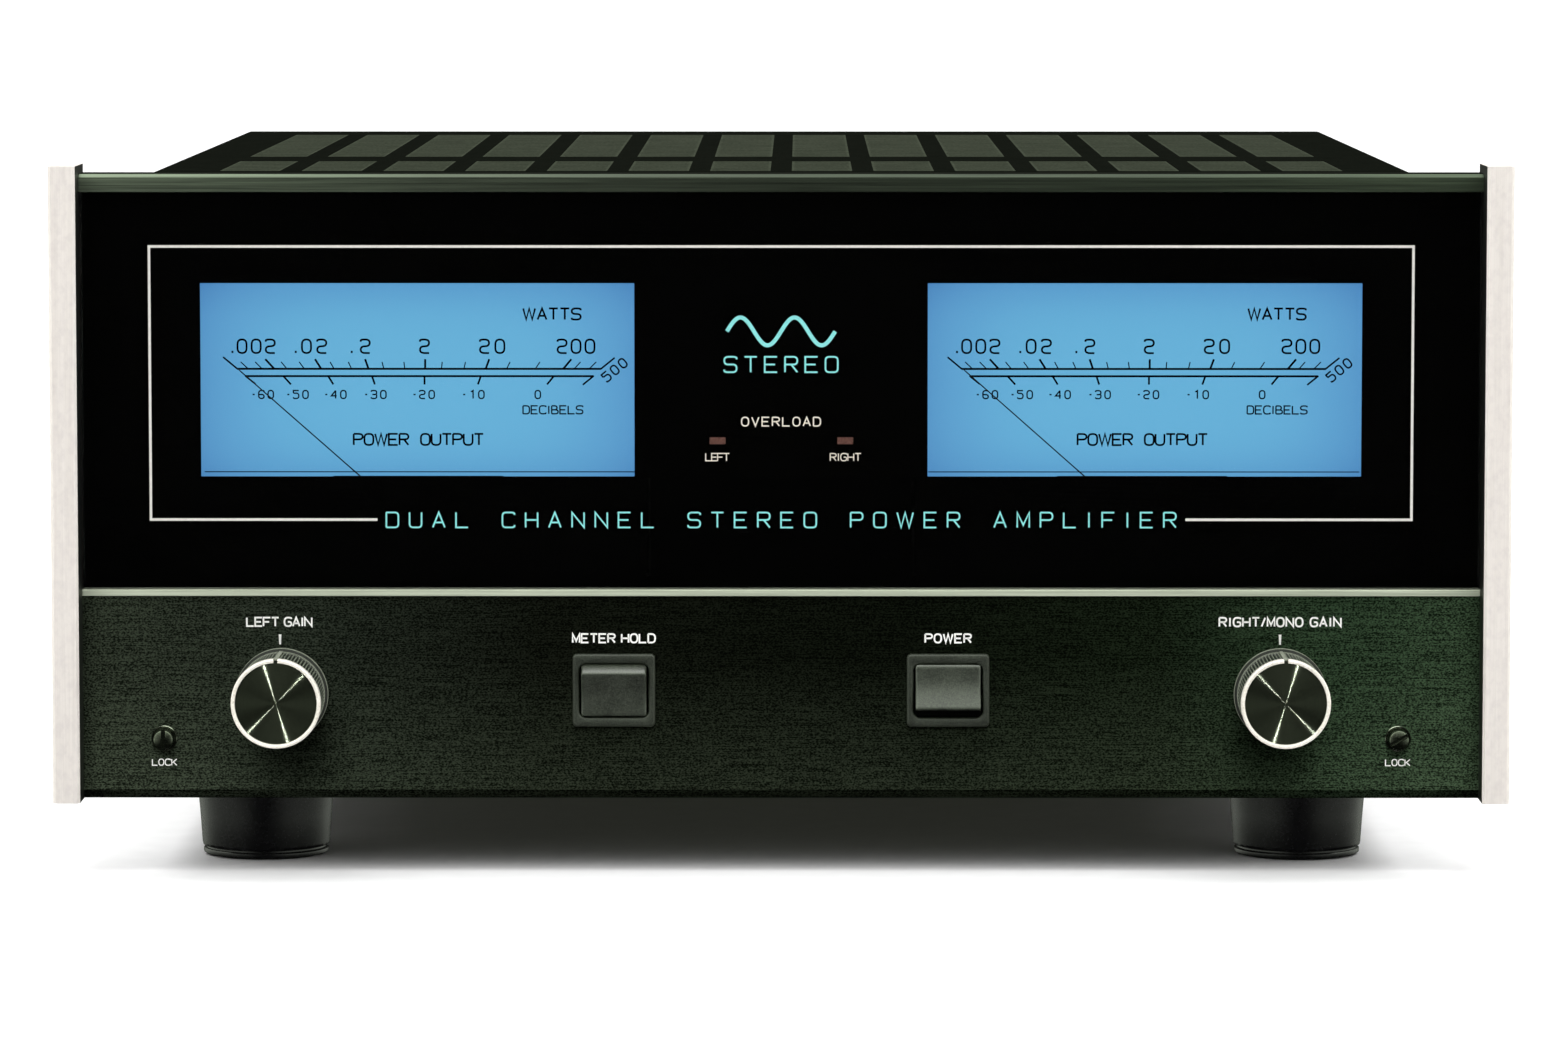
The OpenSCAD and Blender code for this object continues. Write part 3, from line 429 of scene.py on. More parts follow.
# Dark and light colour, gloss from and to, grain size and depth in mm, metallic, specular, stretch.
GRAINED = {
    "mask_black": ((2, 2, 2), (6, 6, 5), (0.6, 0.8), 0.4, 0.003, 0, 0),
    "housing_grey": ((150, 152, 150), (178, 180, 176), (0.5, 0.65), 0.8, 0.02),
    "needle_black": ((3, 4, 6), (9, 10, 13), (0.4, 0.6), 0.5, 0.005),
    "meter_ink": ((2, 5, 10), (7, 12, 20), (0.7, 0.85), 0.4, 0.002, 0, 0),
    "zinc_plate": ((150, 150, 142), (190, 188, 178), (0.28, 0.45), 1.5, 0.01, 0.9),
    "lamp_glass": ((226, 222, 206), (244, 240, 228), (0.12, 0.22), 2, 0.01),
    "led_red": ((118, 76, 66), (158, 112, 99), (0.25, 0.4), 0.6, 0.02),
    "knob_ring": ((232, 226, 212), (250, 246, 236), (0.25, 0.4), 0.6, 0.004, 0.2),
    "bright_steel": ((160, 160, 156), (196, 196, 190), (0.22, 0.35), 0.5, 0.006, 1, 0.5, (1, 30, 1)),
    "bezel_black": ((27, 31, 24), (51, 57, 46), (0.34, 0.48), 0.4, 0.015),
    "stud_black": ((84, 89, 78), (122, 128, 114), (0.14, 0.22), 0.4, 0.004, 1),
    "cover_black": ((9, 11, 8), (16, 18, 14), (0.62, 0.78), 0.6, 0.03, 0, 0),
    "case_black": ((12, 14, 11), (25, 28, 23), (0.52, 0.7), 0.8, 0.07, 0, 0.3),
    "vent_grey": ((39, 43, 35), (58, 63, 52), (0.62, 0.78), 0.9, 0.03, 0, 0),
    "foot_black": ((9, 8, 10), (19, 18, 21), (0.2, 0.3), 0.7, 0.006),
    "pad_rubber": ((20, 20, 20), (36, 35, 34), (0.8, 0.92), 0.5, 0.06),
    "gold_plate": ((196, 158, 84), (226, 190, 112), (0.16, 0.28), 1, 0.006, 1),
    "cap_black": ((12, 12, 12), (28, 27, 27), (0.3, 0.45), 0.6, 0.01),
    "cap_red": ((132, 18, 16), (168, 30, 26), (0.3, 0.45), 0.6, 0.01),
    "insulator_red": ((150, 26, 22), (176, 38, 32), (0.4, 0.5), 0.6, 0.01),
    "insulator_white": ((206, 204, 198), (226, 224, 218), (0.4, 0.5), 0.6, 0.01),
    "capacitor_sleeve": ((22, 34, 66), (34, 50, 88), (0.25, 0.4), 4, 0.03, 0, 0.5, (1, 1, 6)),
    "transistor_steel": ((140, 140, 136), (178, 178, 172), (0.25, 0.4), 1, 0.01, 0.95),
    "wire_maroon": ((92, 20, 22), (126, 34, 32), (0.4, 0.55), 2, 0.05, 0, 0.5, (1, 4, 1)),
    "paint_white": ((222, 222, 216), (244, 244, 240), (0.5, 0.65), 0.5, 0.004),
    "pointer_grey": ((126, 130, 116), (158, 162, 146), (0.4, 0.5), 0.4, 0.004),
    "pale_floor": ((248, 248, 248), (252, 252, 252), (0.9, 1.0), 10, 0, 0, 0),
}
for name, row in GRAINED.items():
    grained(name, *row)
brushed("strip_silver", (169, 177, 156), (199, 206, 185), (0.35, 0.5), "X", 0.008, 0.35)
brushed("sink_black", (24, 24, 24), (46, 46, 45), (0.45, 0.6), "Z", 0.02, 0.6)
lit_print("print_white", (236, 233, 226), 0.35)
lit_print("print_teal", (126, 206, 204), 0.75)
lit_print("print_warm", (226, 218, 204), 0.45)
for build in (end_cap_finish, panel_finish, rail_finish, glass_finish, meter_finish, spun_finish, key_finish,
              knob_finish, board_finish, lamination_finish):
    build()

# ---- mesh building ----


def on_circle(radius, angle, *rest):
    return radius * math.cos(angle), radius * math.sin(angle), *rest


class Shape:
    """The vertices and faces of one piece in millimetres, gathered from closed parts."""

    def __init__(self):
        self.verts = []
        self.faces = []

    def add(self, verts, faces, place=None):
        start = len(self.verts)
        self.verts += [place @ Vector(vert) if place else Vector(vert) for vert in verts]
        self.faces += [[start + index for index in face] for face in faces]
        return self

    def loft(self, rings, place=None, closed=False):
        """A skin over rings of equally many points, capped at both ends or closed into a loop."""
        count = len(rings[0])
        faces = []
        for ring in range(len(rings) if closed else len(rings) - 1):
            here = ring * count
            there = (ring + 1) % len(rings) * count
            for point in range(count):
                after = (point + 1) % count
                faces.append([here + point, here + after, there + after, there + point])
        if not closed:
            faces.append(list(range(count))[::-1])
            faces.append([(len(rings) - 1) * count + point for point in range(count)])
        return self.add([point for ring in rings for point in ring], faces, place)

    def lathe(self, profile, segments, place=None, closed=False, teeth=0):
        """Turns (radius, height) points about Z; a third value is how deep the teeth are cut there."""
        rings = []
        for radius, height, *cut in profile:
            ring = []
            for step in range(segments):
                angle = math.tau * step / segments
                depth = cut[0] * (0.5 - 0.5 * math.cos(teeth * angle)) if cut else 0
                ring.append(on_circle(radius - depth, angle, height))
            rings.append(ring)
        return self.loft(rings, place, closed)

    def block(self, corner, opposite, edge, place):
        """A box between two corners with chamfered edges."""
        size = Vector(opposite) - Vector(corner)
        centre = (Vector(opposite) + Vector(corner)) / 2
        rings = []
        for height, inset in ((0, edge), (edge, 0), (size.z - edge, 0), (size.z, edge)):
            outline = rounded_rect(size.x - 2 * inset, size.y - 2 * inset, edge, 3)
            rings.append([(centre.x + x, centre.y + y, corner[2] + height) for x, y in outline])
        return self.loft(rings, place)


def rounded_rect(width, depth, radius, steps):
    """Outline of a rectangle about the origin with round corners, anticlockwise."""
    points = []
    for turn, (side_x, side_y) in enumerate(((1, -1), (1, 1), (-1, 1), (-1, -1))):
        for step in range(steps + 1):
            x, y = on_circle(radius, math.pi / 2 * (turn - 1 + step / steps))
            points.append((side_x * (width / 2 - radius) + x, side_y * (depth / 2 - radius) + y))
    return points


def make(name, shape, finish, body="root", replaces=(), place=None, smooth=32):
    """A piece from a Shape: its mesh in metres, finish, body, and the CAD nodes that it stands for."""
    mesh = bpy.data.meshes.new(name)
    mesh.from_pydata([vert * MM for vert in shape.verts], [], shape.faces)
    mesh.materials.append(FINISHES[finish])
    work = bmesh.new()
    work.from_mesh(mesh)
    bmesh.ops.recalc_face_normals(work, faces=work.faces)
    work.to_mesh(mesh)
    work.free()
    mesh.shade_smooth()
    mesh.set_sharp_from_angle(angle=math.radians(smooth))
    piece = put_in_scene(name, mesh)
    if place:
        place = place.copy()
        place.translation *= MM
        piece.matrix_world = place
    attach(piece, body)
    if replaces:
        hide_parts(*replaces)
    return piece


def towards_front(x, y, z):
    """A place whose local Z points to the front, with local X to the right and local Y up."""
    return Matrix.Translation((x, y, z)) @ Matrix.Rotation(math.pi / 2, 4, "X")


def towards_rear(x, y, z):
    """A place whose local Z points to the rear, with local Y up."""
    return (Matrix.Translation((x, y, z)) @ Matrix.Rotation(math.pi, 4, "Z")
            @ Matrix.Rotation(math.pi / 2, 4, "X"))


def plate(shape, outline, holes, bottom, top):
    """A flat level sheet with holes."""
    curve = bpy.data.curves.new("plate", "CURVE")
    curve.dimensions = "2D"
    curve.fill_mode = "BOTH"
    curve.extrude = (top - bottom) * MM / 2
    for loop in (outline, *holes):
        spline = curve.splines.new("POLY")
        spline.points.add(len(loop) - 1)
        spline.use_cyclic_u = True
        for point, (x, y) in zip(spline.points, loop):
            point.co = (x * MM, y * MM, 0, 1)
    source = put_in_scene("source", curve)
    bpy.context.view_layer.update()
    mesh = bpy.data.meshes.new_from_object(source.evaluated_get(bpy.context.evaluated_depsgraph_get()))
    work = bmesh.new()
    work.from_mesh(mesh)
    bmesh.ops.remove_doubles(work, verts=work.verts, dist=1e-7)
    verts = [vert.co / MM for vert in work.verts]
    faces = [[vert.index for vert in face.verts] for face in work.faces]
    shape.add(verts, faces, Matrix.Translation((0, 0, (bottom + top) / 2)))
    work.free()
    bpy.data.objects.remove(source)
    bpy.data.meshes.remove(mesh)


def dress(nodes, finish, edge=0.0):
    """CAD nodes that stay: their finish, and a small bevel of edge millimetres on their sharp edges."""
    for name in nodes.split():
        node = frame["nodes"][name]
        for holder in node.material_slots:
            holder.material = FINISHES[finish]
        if edge:
            node.modifiers.new("weld", "WELD").merge_threshold = 0.001 * MM
            bevel = node.modifiers.new("bevel", "BEVEL")
            bevel.width = edge * MM
            bevel.segments = 3
            bevel.angle_limit = math.radians(35)
            bevel.harden_normals = True


# ---- lettering ----

# Strokes on a grid six units high, each point two digits. A leading ~ rounds the corners between
# the ends of a stroke, and @ closes the stroke and rounds all its corners.
GLYPHS = {
    "A": "003660 1252", "B": "~06565303 ~03636000 0006", "C": "~656606006061", "D": "~06666000 0006",
    "E": "66060060 0353", "F": "660600 0353", "G": "~65660600606333", "H": "0006 6066 0363", "I": "1016",
    "K": "0006 0266 2360", "L": "060060", "M": "0006316660", "N": "00066066", "O": "@00066660",
    "P": "~06666303 0006", "R": "~06666303 0006 3360", "S": "~6566060363600001", "T": "0666 3036",
    "U": "~06006066", "V": "063066", "W": "0620466086", "0": "@00065650", "1": "052620",
    "2": "~05065653030050", "3": "~0506565313 ~53500001", "4": "4046 460252", "5": "560604 ~0454500001",
    "6": "~55560600505303", "-": "0323", ".": "0001", "/": "0036", " ": "",
}
LETTER_STRETCH = 0.8
PRINT_THICKNESS = 0.03


def rounded_corners(points, radius, closed):
    """The points with each inner corner replaced by a curve that starts and ends within a radius of it."""
    result = []
    count = len(points)
    for index, point in enumerate(points):
        if not closed and index in (0, count - 1):
            result.append(point)
            continue
        before = points[index - 1] - point
        after = points[(index + 1) % count] - point
        start = point + before.normalized() * min(radius, before.length / 2)
        end = point + after.normalized() * min(radius, after.length / 2)
        for step in range(6):
            share = step / 5
            result.append(start * (1 - share) ** 2 + point * 2 * share * (1 - share) + end * share ** 2)
    return result


def ribbon(shape, points, width, thickness, place, closed=False):
    """A flat line of a width along points in the XY plane, mitred at its corners."""
    points = [Vector(point) for point in points]
    rings = []
    count = len(points)
    for index, point in enumerate(points):
        normals = []
        for start, end in ((index - 1, index), (index, index + 1)):
            if closed or 0 <= start < end < count:
                run = points[end % count] - points[start % count]
                if run.length > 0.001:
                    normals.append(Vector((-run.y, run.x)).normalized())
        mitre = sum(normals, Vector((0, 0))).normalized()
        side = mitre * (width / 2 / max(0.4, mitre.dot(normals[0])))
        left, right = point + side, point - side
        rings.append([(left.x, left.y, 0), (right.x, right.y, 0),
                      (right.x, right.y, thickness), (left.x, left.y, thickness)])
    shape.loft(rings, place, closed)


def lettering(shape, text, cap, width, centre, place, weight=0.2, turn=0.0, corner=2.8, space=2.5):
    """Lettering of one line weight: cap height, whole width and centre in the XY plane of place."""
    unit = cap / 6
    widths = []
    for letter in text:
        across = [int(digit) for stroke in GLYPHS[letter].split() for digit in stroke.strip("~@")[::2]]
        widths.append((max(across) + min(across) if across else space) * unit * LETTER_STRETCH)
    gap = (width - sum(widths)) / max(1, len(text) - 1)
    spot = place @ Matrix.Translation((*centre, 0)) @ Matrix.Rotation(turn, 4, "Z")
    start = -width / 2
    for letter, room in zip(text, widths):
        for stroke in GLYPHS[letter].split():
            digits = stroke.strip("~@")
            points = [Vector((start + int(digits[i]) * unit * LETTER_STRETCH,
                              int(digits[i + 1]) * unit - cap / 2))
                      for i in range(0, len(digits), 2)]
            closed = stroke[0] == "@"
            if stroke[0] in "~@":
                points = rounded_corners(points, corner * unit, closed)
            ribbon(shape, points, cap * weight, PRINT_THICKNESS, spot, closed)
        start += room + gap


# ---- the plates, panels and sheets that CAD shapes fully ----

dress("end_cap_left end_cap_right", "satin_silver", 0.15)
dress("accent_strip", "strip_silver", 0.25)
dress("top_rail", "rail_black", 0.2)
dress("lower_panel", "brushed_black")
dress("glass_panel", "front_glass", 0.3)
dress("glass_mask", "mask_black")
dress("left_meter_face right_meter_face", "meter_blue")
dress("left_meter_housing right_meter_housing", "housing_grey", 0.3)
dress("meter_movements front_subpanel chassis_floor", "zinc_plate")
dress("meter_lamps", "lamp_glass")
dress("overload_leds", "led_red", 0.15)
dress("left_gain_shaft right_gain_shaft gain_pots", "bright_steel")
dress("left_side_panel right_side_panel rear_panel", "case_black")
dress("case_screws", "stud_black")
dress("speaker_posts", "gold_plate")
dress("power_inlet fuse_holder mode_switch_body", "cap_black")
dress("mode_slider", "insulator_white", 0.3)
dress("power_transformer", "laminated_steel", 0.8)
dress("filter_capacitors", "capacitor_sleeve")
dress("left_heat_sink right_heat_sink", "sink_black")
dress("output_transistors", "transistor_steel")
dress("driver_boards input_board supply_board", "circuit_board")
dress("wiring_harness", "wire_maroon")

# ---- top cover ----


def top_cover():
    """A folded sheet with two rows of windows, and the slotted screen under them."""
    cover_low, cover_high = box("top_cover")
    thick = 1.2
    bend = 2.2
    columns = 14
    pitch = 23.5
    window = 17.5
    back_edge = cover_high.y
    rows = [(26 + front_y, 104 + front_y), (138 + front_y, 338 + front_y)]
    middles = [(column - (columns - 1) / 2) * pitch for column in range(columns)]

    def hole(x, y, width, depth, radius, steps):
        return [(x + along, y + back) for along, back in rounded_rect(width, depth, radius, steps)]

    sheet = Shape()
    holes = [hole(x, (start + end) / 2, window, end - start, 1.2, 5)
             for x in middles for start, end in rows]
    flat_x = cover_high.x - bend
    outline = [(-flat_x, cover_low.y), (flat_x, cover_low.y), (flat_x, back_edge), (-flat_x, back_edge)]
    plate(sheet, outline, holes, cover_high.z - thick, cover_high.z)
    for side in (-1, 1):
        outer, inner = [], []
        for line, radius in ((outer, bend), (inner, bend - thick)):
            for step in range(9):
                up, across = on_circle(radius, math.pi / 2 * step / 8)
                line.append((side * (flat_x + across), cover_high.z - bend + up))
            line.append((side * (flat_x + radius), cover_low.z))
        section = outer + inner[::-1]
        sheet.loft([[(x, y, z) for x, z in section] for y in (cover_low.y, back_edge)])
    make("top_cover_sheet", sheet, "cover_black", replaces=["top_cover"])

    screen_low, screen_high = box("vent_screen")
    screen = Shape()
    slot_width = 1.3
    slot_length = 16.3
    slot_pitch = 4.4
    inset = 0.06
    patch_top = cover_high.z - 0.1
    patch_length = 40
    outline = [(screen_low.x, screen_low.y), (screen_high.x, screen_low.y),
               (screen_high.x, screen_high.y), (screen_low.x, screen_high.y)]
    plate(screen, outline, holes, screen_low.z, screen_high.z)
    for start, end in rows:
        parts = round((end - start) / patch_length)
        length = (end - start - 2 * inset) / parts
        count = round(length / slot_pitch)
        for x in middles:
            for part in range(parts):
                near = start + inset + part * length
                patch = hole(x, near + length / 2, window - 2 * inset, length, 0.01, 1)
                slots = [hole(x, near + (slot + 0.5) * length / count, slot_length, slot_width,
                              slot_width / 2 - 0.001, 3) for slot in range(count)]
                plate(screen, patch, slots, screen_low.z, patch_top)
    make("vent_screen_sheet", screen, "vent_grey", replaces=["vent_screen"])


top_cover()

# ---- prints on the glass ----


def glass_prints():
    """Frame line, title, waveform mark and lettering, printed on the back of the glass."""
    place = towards_front(0, mask_y - 0.02, 0)
    frame_line = Shape()
    corners = [(-115.8, 101.1), (-180.8, 101.1), (-180.8, 179.5),
               (180.8, 179.5), (180.8, 101.1), (116, 101.1)]
    ribbon(frame_line, corners, 0.75, PRINT_THICKNESS, place)
    make("frame_line", frame_line, "print_white")

    title = Shape()
    lettering(title, "DUAL CHANNEL STEREO POWER AMPLIFIER", 4.3, 226.5, (0, 101.0), place, 0.11,
              corner=1.5, space=6)
    lettering(title, "STEREO", 4.4, 32.5, (0, 145.7), place, 0.11, corner=1.5)
    shares = [step / 60 for step in range(61)]
    wave = [((share - 0.5) * 31, 155.2 + 4.0 * math.sin(share * 2 * math.tau)) for share in shares]
    ribbon(title, wave, 1.15, PRINT_THICKNESS, place)
    make("title_print", title, "print_teal")

    notes = Shape()
    lettering(notes, "OVERLOAD", 2.5, 22.6, (0, 129.3), place, 0.15)
    lettering(notes, "LEFT", 2.1, 6.8, (-18.2, 119.1), place, 0.15)
    lettering(notes, "RIGHT", 2.1, 8.8, (18.5, 119.1), place, 0.15)
    make("overload_print", notes, "print_warm")


glass_prints()

# ---- meters ----

WATT_MARKS = [(-43.3, ".002", -49.2, 12.2), (-29.8, ".02", -32.7, 8.8), (-16.2, ".2", -18.4, 5.2),
              (0.1, "2", 0.0, 2.7), (17.5, "20", 19.4, 7.0), (39.8, "200", 43.5, 10.6)]
DECIBEL_MARKS = [(-40.7, "-50", -36.6), (-27.8, "-40", -25.7), (-15.2, "-30", -14.2), (-0.1, "-20", -0.3),
                 (16.1, "-10", 14.0), (37.1, "0", 32.5)]
UPPER_LINE = 47.2
LOWER_LINE = 45.1


def meter_print(shape, place):
    """Both scales of a meter, in millimetres about its pivot."""
    def line(start, end, width):
        ribbon(shape, [start, end], width, PRINT_THICKNESS, place)

    def radial(x, base, tip, width):
        line((x, base), (x * tip / base, tip), width)

    def words(text, cap, width, centre, turn=0.0, weight=0.175):
        lettering(shape, text, cap, width, centre, place, weight, turn, 2.2, 6)

    line((-53.9, UPPER_LINE), (50.6, UPPER_LINE), 0.6)
    line((-51.6, LOWER_LINE), (48.6, LOWER_LINE), 0.6)
    for start, end in (((-58.0, 50.6), (-53.8, 47.1)), ((-51.7, 45.2), (-48.7, 42.8)),
                       ((50.5, 47.1), (54.6, 50.4)), ((48.6, 45.2), (45.4, 42.6))):
        line(start, end, 0.5)
    places = [mark[0] for mark in WATT_MARKS]
    for x in places:
        radial(x, UPPER_LINE, 50.0, 0.6)
    for start, end in zip(places, places[1:] + [51.5]):
        for share in (0.27, 0.64):
            radial(start + share * (end - start), UPPER_LINE, 49.2, 0.32)
    for x in (-50.8, -46.8):
        radial(x, UPPER_LINE, 49.2, 0.32)
    for x, *_ in DECIBEL_MARKS:
        radial(x, LOWER_LINE, 42.7, 0.55)
    for _, text, x, width in WATT_MARKS:
        words(text, 3.9, width, (x, 53.7), weight=0.145)
    words("500", 2.7, 7.8, (54.6, 46.9), math.radians(40))
    words("-60", 2.3, 6.0, (-46.6, 39.8))
    for _, text, x in DECIBEL_MARKS:
        words(text, 2.3, 6.0 if len(text) > 1 else 1.6, (x, 39.8))
    words("WATTS", 3.2, 16.5, (36.6, 63.0))
    words("DECIBELS", 2.3, 17.2, (36.8, 35.4))
    words("POWER OUTPUT", 3.2, 37.3, (-1.9, 26.85))
    line((-63.5, 17.5), (60.5, 17.5), 0.28)
    line((-26.4, 16.2), (22.5, 16.2), 0.28)


def meters():
    for side in ("left", "right"):
        pivot = joint_points[f"{side}_needle_swing"]
        face_y = low(f"{side}_meter_face").y
        scales = Shape()
        meter_print(scales, towards_front(pivot.x, face_y - 0.01, pivot.z))
        make(f"{side}_meter_print", scales, "meter_ink")

        needle_low, needle_high = box(f"{side}_needle")
        needle = Shape()
        place = towards_front(pivot.x, needle_low.y + 0.5, pivot.z)
        reach = Vector((needle_low.x - pivot.x, needle_high.z - pivot.z))
        lean = place @ Matrix.Rotation(math.atan2(-reach.x, reach.y), 4, "Z")
        length = reach.length - 0.2
        outline = [(-0.3, 4), (0.3, 4), (0.17, 30), (0.17, length - 2), (0.04, length),
                   (-0.04, length), (-0.17, length - 2), (-0.17, 30)]
        needle.loft([[(*point, z) for point in outline] for z in (0, 0.25)], lean)
        depth = needle_high.y - needle_low.y
        needle.lathe([(1.0, -depth + 1.2), (1.0, -0.8), (4.6, -0.6), (4.8, -0.4),
                      (4.8, 0.3), (4.5, 0.5), (1.2, 0.5)], 64, place)
        needle.block((-1.0, -6.6, -0.2), (1.0, -1, 0.25), 0.1, lean)
        make(f"{side}_needle_blade", needle, "needle_black", f"{side}_meter_needle",
             [f"{side}_needle"])


meters()

# ---- gain knobs ----


def gain_knob(side):
    """A knurled black knob with a bright front ring, a spun face and a pointer groove."""
    body = f"{side}_knob"
    node = f"{side}_gain_knob"
    centre = middle(node)
    length = depth_of(node)
    place = towards_front(centre.x, high(node).y, centre.z)

    barrel = Shape()
    crest = KNURL_RADIUS
    profile = [(11.6, 0), (13.0, 0.05), (13.3, 0.3), (13.3, 1.9), (13.1, 2.2), (12.15, 2.4), (12.1, 3.0),
               (crest - 0.05, 3.2, 0.0), (crest, 3.5, 0.5), (crest, length - 3.3, 0.5),
               (crest - 0.05, length - 3.0, 0.0), (12.1, length - 2.9), (12.1, length - 2.7),
               (11.2, length - 2.6)]
    barrel.lathe(profile, 560, teeth=80)
    make(f"{side}_knob_barrel", barrel, "knob_black", body, [node], place, 20)

    ring = Shape()
    section = [(11.6, -2.55), (12.6, -2.55), (12.75, -2.4), (12.75, -0.5), (12.6, -0.2), (12.35, 0.0),
               (12.0, 0.0), (11.75, -0.15), (11.6, -0.4)]
    notch = math.asin(0.62 / 12.1)
    steps = 160
    rings = []
    for step in range(steps + 1):
        angle = math.pi / 2 + notch + (math.tau - 2 * notch) * step / steps
        rings.append([on_circle(radius, angle, length + height) for radius, height in section])
    ring.loft(rings, place)
    make(f"{side}_knob_ring", ring, "knob_ring", body)

    face = Shape()
    face.lathe([(11.7, -1.6), (11.7, -0.15), (11.55, 0)], 128)
    spun = make(f"{side}_knob_face", face, "spun_black", body,
                place=place @ Matrix.Translation((0, 0, length - 0.75)), smooth=20)

    groove = Shape()
    groove.block((-0.55, 12.0, 2.6), (0.55, 12.62, length - 2.4), 0.12, place)
    make(f"{side}_knob_pointer", groove, "pointer_grey", body)
    return spun


spun_faces = {-1: gain_knob("left"), 1: gain_knob("right")}

# ---- rocker switches ----


def smooth_least(values, softness):
    """The least of the values, rounded off where two of them are close."""
    return -softness * math.log(sum(math.exp(-value / softness) for value in values))


def rocker_switch(name, housing, lean):
    """A bezel with its rear body, and a rocker whose raised end is up for a lean of 1 and down for -1."""
    pivot = joint_points[f"{name}_tilt"]
    bezel_low, bezel_high = box(housing)
    wide, tall = 23.7, 21
    hole_wide, hole_tall = 19.7, 15.6
    proud = panel_y - bezel_low.y
    place = towards_front(pivot.x, panel_y, pivot.z)

    def loop(width, height, radius, depth, bow=0.0):
        outline = rounded_rect(width, height, radius, 8)
        return [(x * (1 + bow * (1 - (2 * y / height) ** 2)), y, depth) for x, y in outline]

    bezel = Shape()
    rear = panel_y - bezel_high.y
    floor = rear + 12
    bezel.loft([loop(18, 15, 1, floor), loop(hole_wide, hole_tall, 2, floor),
                loop(hole_wide, hole_tall, 2, proud - 0.5, 0.02),
                loop(hole_wide + 0.5, hole_tall + 0.5, 2.2, proud - 0.12, 0.02),
                loop(hole_wide + 0.9, hole_tall + 0.9, 2.3, proud, 0.02),
                loop(wide - 1.1, tall - 1.1, 0.9, proud),
                loop(wide - 0.5, tall - 0.5, 1.1, proud - 0.12),
                loop(wide, tall, 1.3, proud - 0.6), loop(wide, tall, 1.3, 0.05),
                loop(21.5, 18.5, 0.8, 0.05), loop(21.5, 18.5, 0.8, rear)], place)
    make(f"{name}_bezel", bezel, "bezel_black", "root", [housing], smooth=50)

    width = 18.7
    ends = 8.5
    face = 6.0
    back = 4.4
    hollow = 1.1
    round_off = 0.7
    softness = 0.12
    crowning = 0.035
    tilt = math.radians(11 * lean)
    quarter = [math.pi / 2 * step / 6 for step in range(7)]
    slices = [(round_off * (1 - math.cos(turn)) - width / 2, round_off * (1 - math.sin(turn)))
              for turn in quarter]
    slices += [(-along, inset) for along, inset in slices[::-1]]
    rings = []
    for along, inset in slices:
        ring = []
        for step in range(144):
            angle = math.tau * step / 144
            forward = max(math.cos(angle), 1e-3)
            backward = max(-math.cos(angle), 1e-3)
            reach = min(1, face * abs(math.sin(angle)) / forward / ends)
            front = (face - hollow * (1 - reach ** 2)) / forward
            radius = smooth_least((ends, front, back / backward), softness) - inset
            crown = 1 - crowning * (2 * along / width) ** 2 * abs(math.sin(angle))
            ring.append((along, radius * crown * math.sin(angle), radius * math.cos(angle)))
        rings.append(ring)
    rocker = Shape().loft(rings)
    turned = towards_front(*pivot) @ Matrix.Rotation(tilt, 4, "X")
    make(f"{name}_key", rocker, "switch_black", f"{name}_key", [f"{name}_rocker"],
         turned, smooth=60)


rocker_switch("meter_hold", "meter_hold_housing", 1)
rocker_switch("power", "power_switch_housing", -1)

# ---- lock studs ----


def lock_stud(side, slot_turn):
    """A turned stud whose slotted head stands out of a collar in the panel."""
    node = f"{side}_lock_stud"
    joint = joint_points[f"{side}_lock_turn"]
    length = depth_of(node)
    radius = 2.85
    place = towards_front(joint.x, high(node).y, joint.z)
    stud = Shape()
    floor = length - 1.6
    stud.lathe([(1.6, 1.8), (radius, 1.9), (radius, floor)], 64, place)
    stud.block((-2.5, -2.85, 0.02), (2.5, 6.1, 1.85), 0.2, place)
    for half in (0, math.pi):
        rings = []
        for height, inset in ((floor, 0), (length - 0.5, 0), (length - 0.15, 0.15), (length, 0.5)):
            reach = radius - inset
            start = math.asin((0.5 + inset * 0.3) / reach)
            rings.append([on_circle(reach, start + (math.pi - 2 * start) * step / 24, height)
                          for step in range(25)])
        stud.loft(rings, place @ Matrix.Rotation(slot_turn + half, 4, "Z"))
    make(f"{side}_stud", stud, "stud_black", f"{side}_lock", [node])

    collar = Shape()
    collar.lathe([(3.0, 0.02), (3.7, 0.02), (3.7, 0.3), (3.5, 0.5), (3.2, 0.5), (3.0, 0.35)],
                 64, towards_front(joint.x, panel_y, joint.z), closed=True)
    make(f"{side}_stud_collar", collar, "stud_black", "root")


lock_stud("left", math.radians(90))
lock_stud("right", math.radians(30))

# ---- print on the lower panel ----


def panel_prints():
    """White words over the controls, and a tick above each gain knob."""
    place = towards_front(0, panel_y - 0.005, 0)
    words = Shape()
    knob_x = joint_points["right_gain_turn"].x
    switch_x = joint_points["power_tilt"].x
    lock_x = joint_points["right_lock_turn"].x
    lettering(words, "LEFT GAIN", 2.45, 18.6, (-knob_x - 0.8, 72.1), place)
    lettering(words, "RIGHT/MONO GAIN", 2.5, 34.8, (knob_x, 72.1), place)
    lettering(words, "METER HOLD", 2.45, 23.6, (-switch_x, 67.4), place)
    lettering(words, "POWER", 2.45, 13.1, (switch_x, 67.4), place)
    for side, tick_x in ((-1, -knob_x - 0.6), (1, knob_x)):
        lettering(words, "LOCK", 1.8, 7.0, (side * lock_x, joint_points["right_lock_turn"].z - 6.9),
                  place, 0.17)
        words.loft([[(tick_x - half, z, 0), (tick_x + half, z, 0), (tick_x + half, z, 0.04),
                     (tick_x - half, z, 0.04)] for half, z in ((0.25, 65.6), (0.4, 68.5))], place)
    make("panel_print", words, "paint_white")


panel_prints()

# ---- feet ----


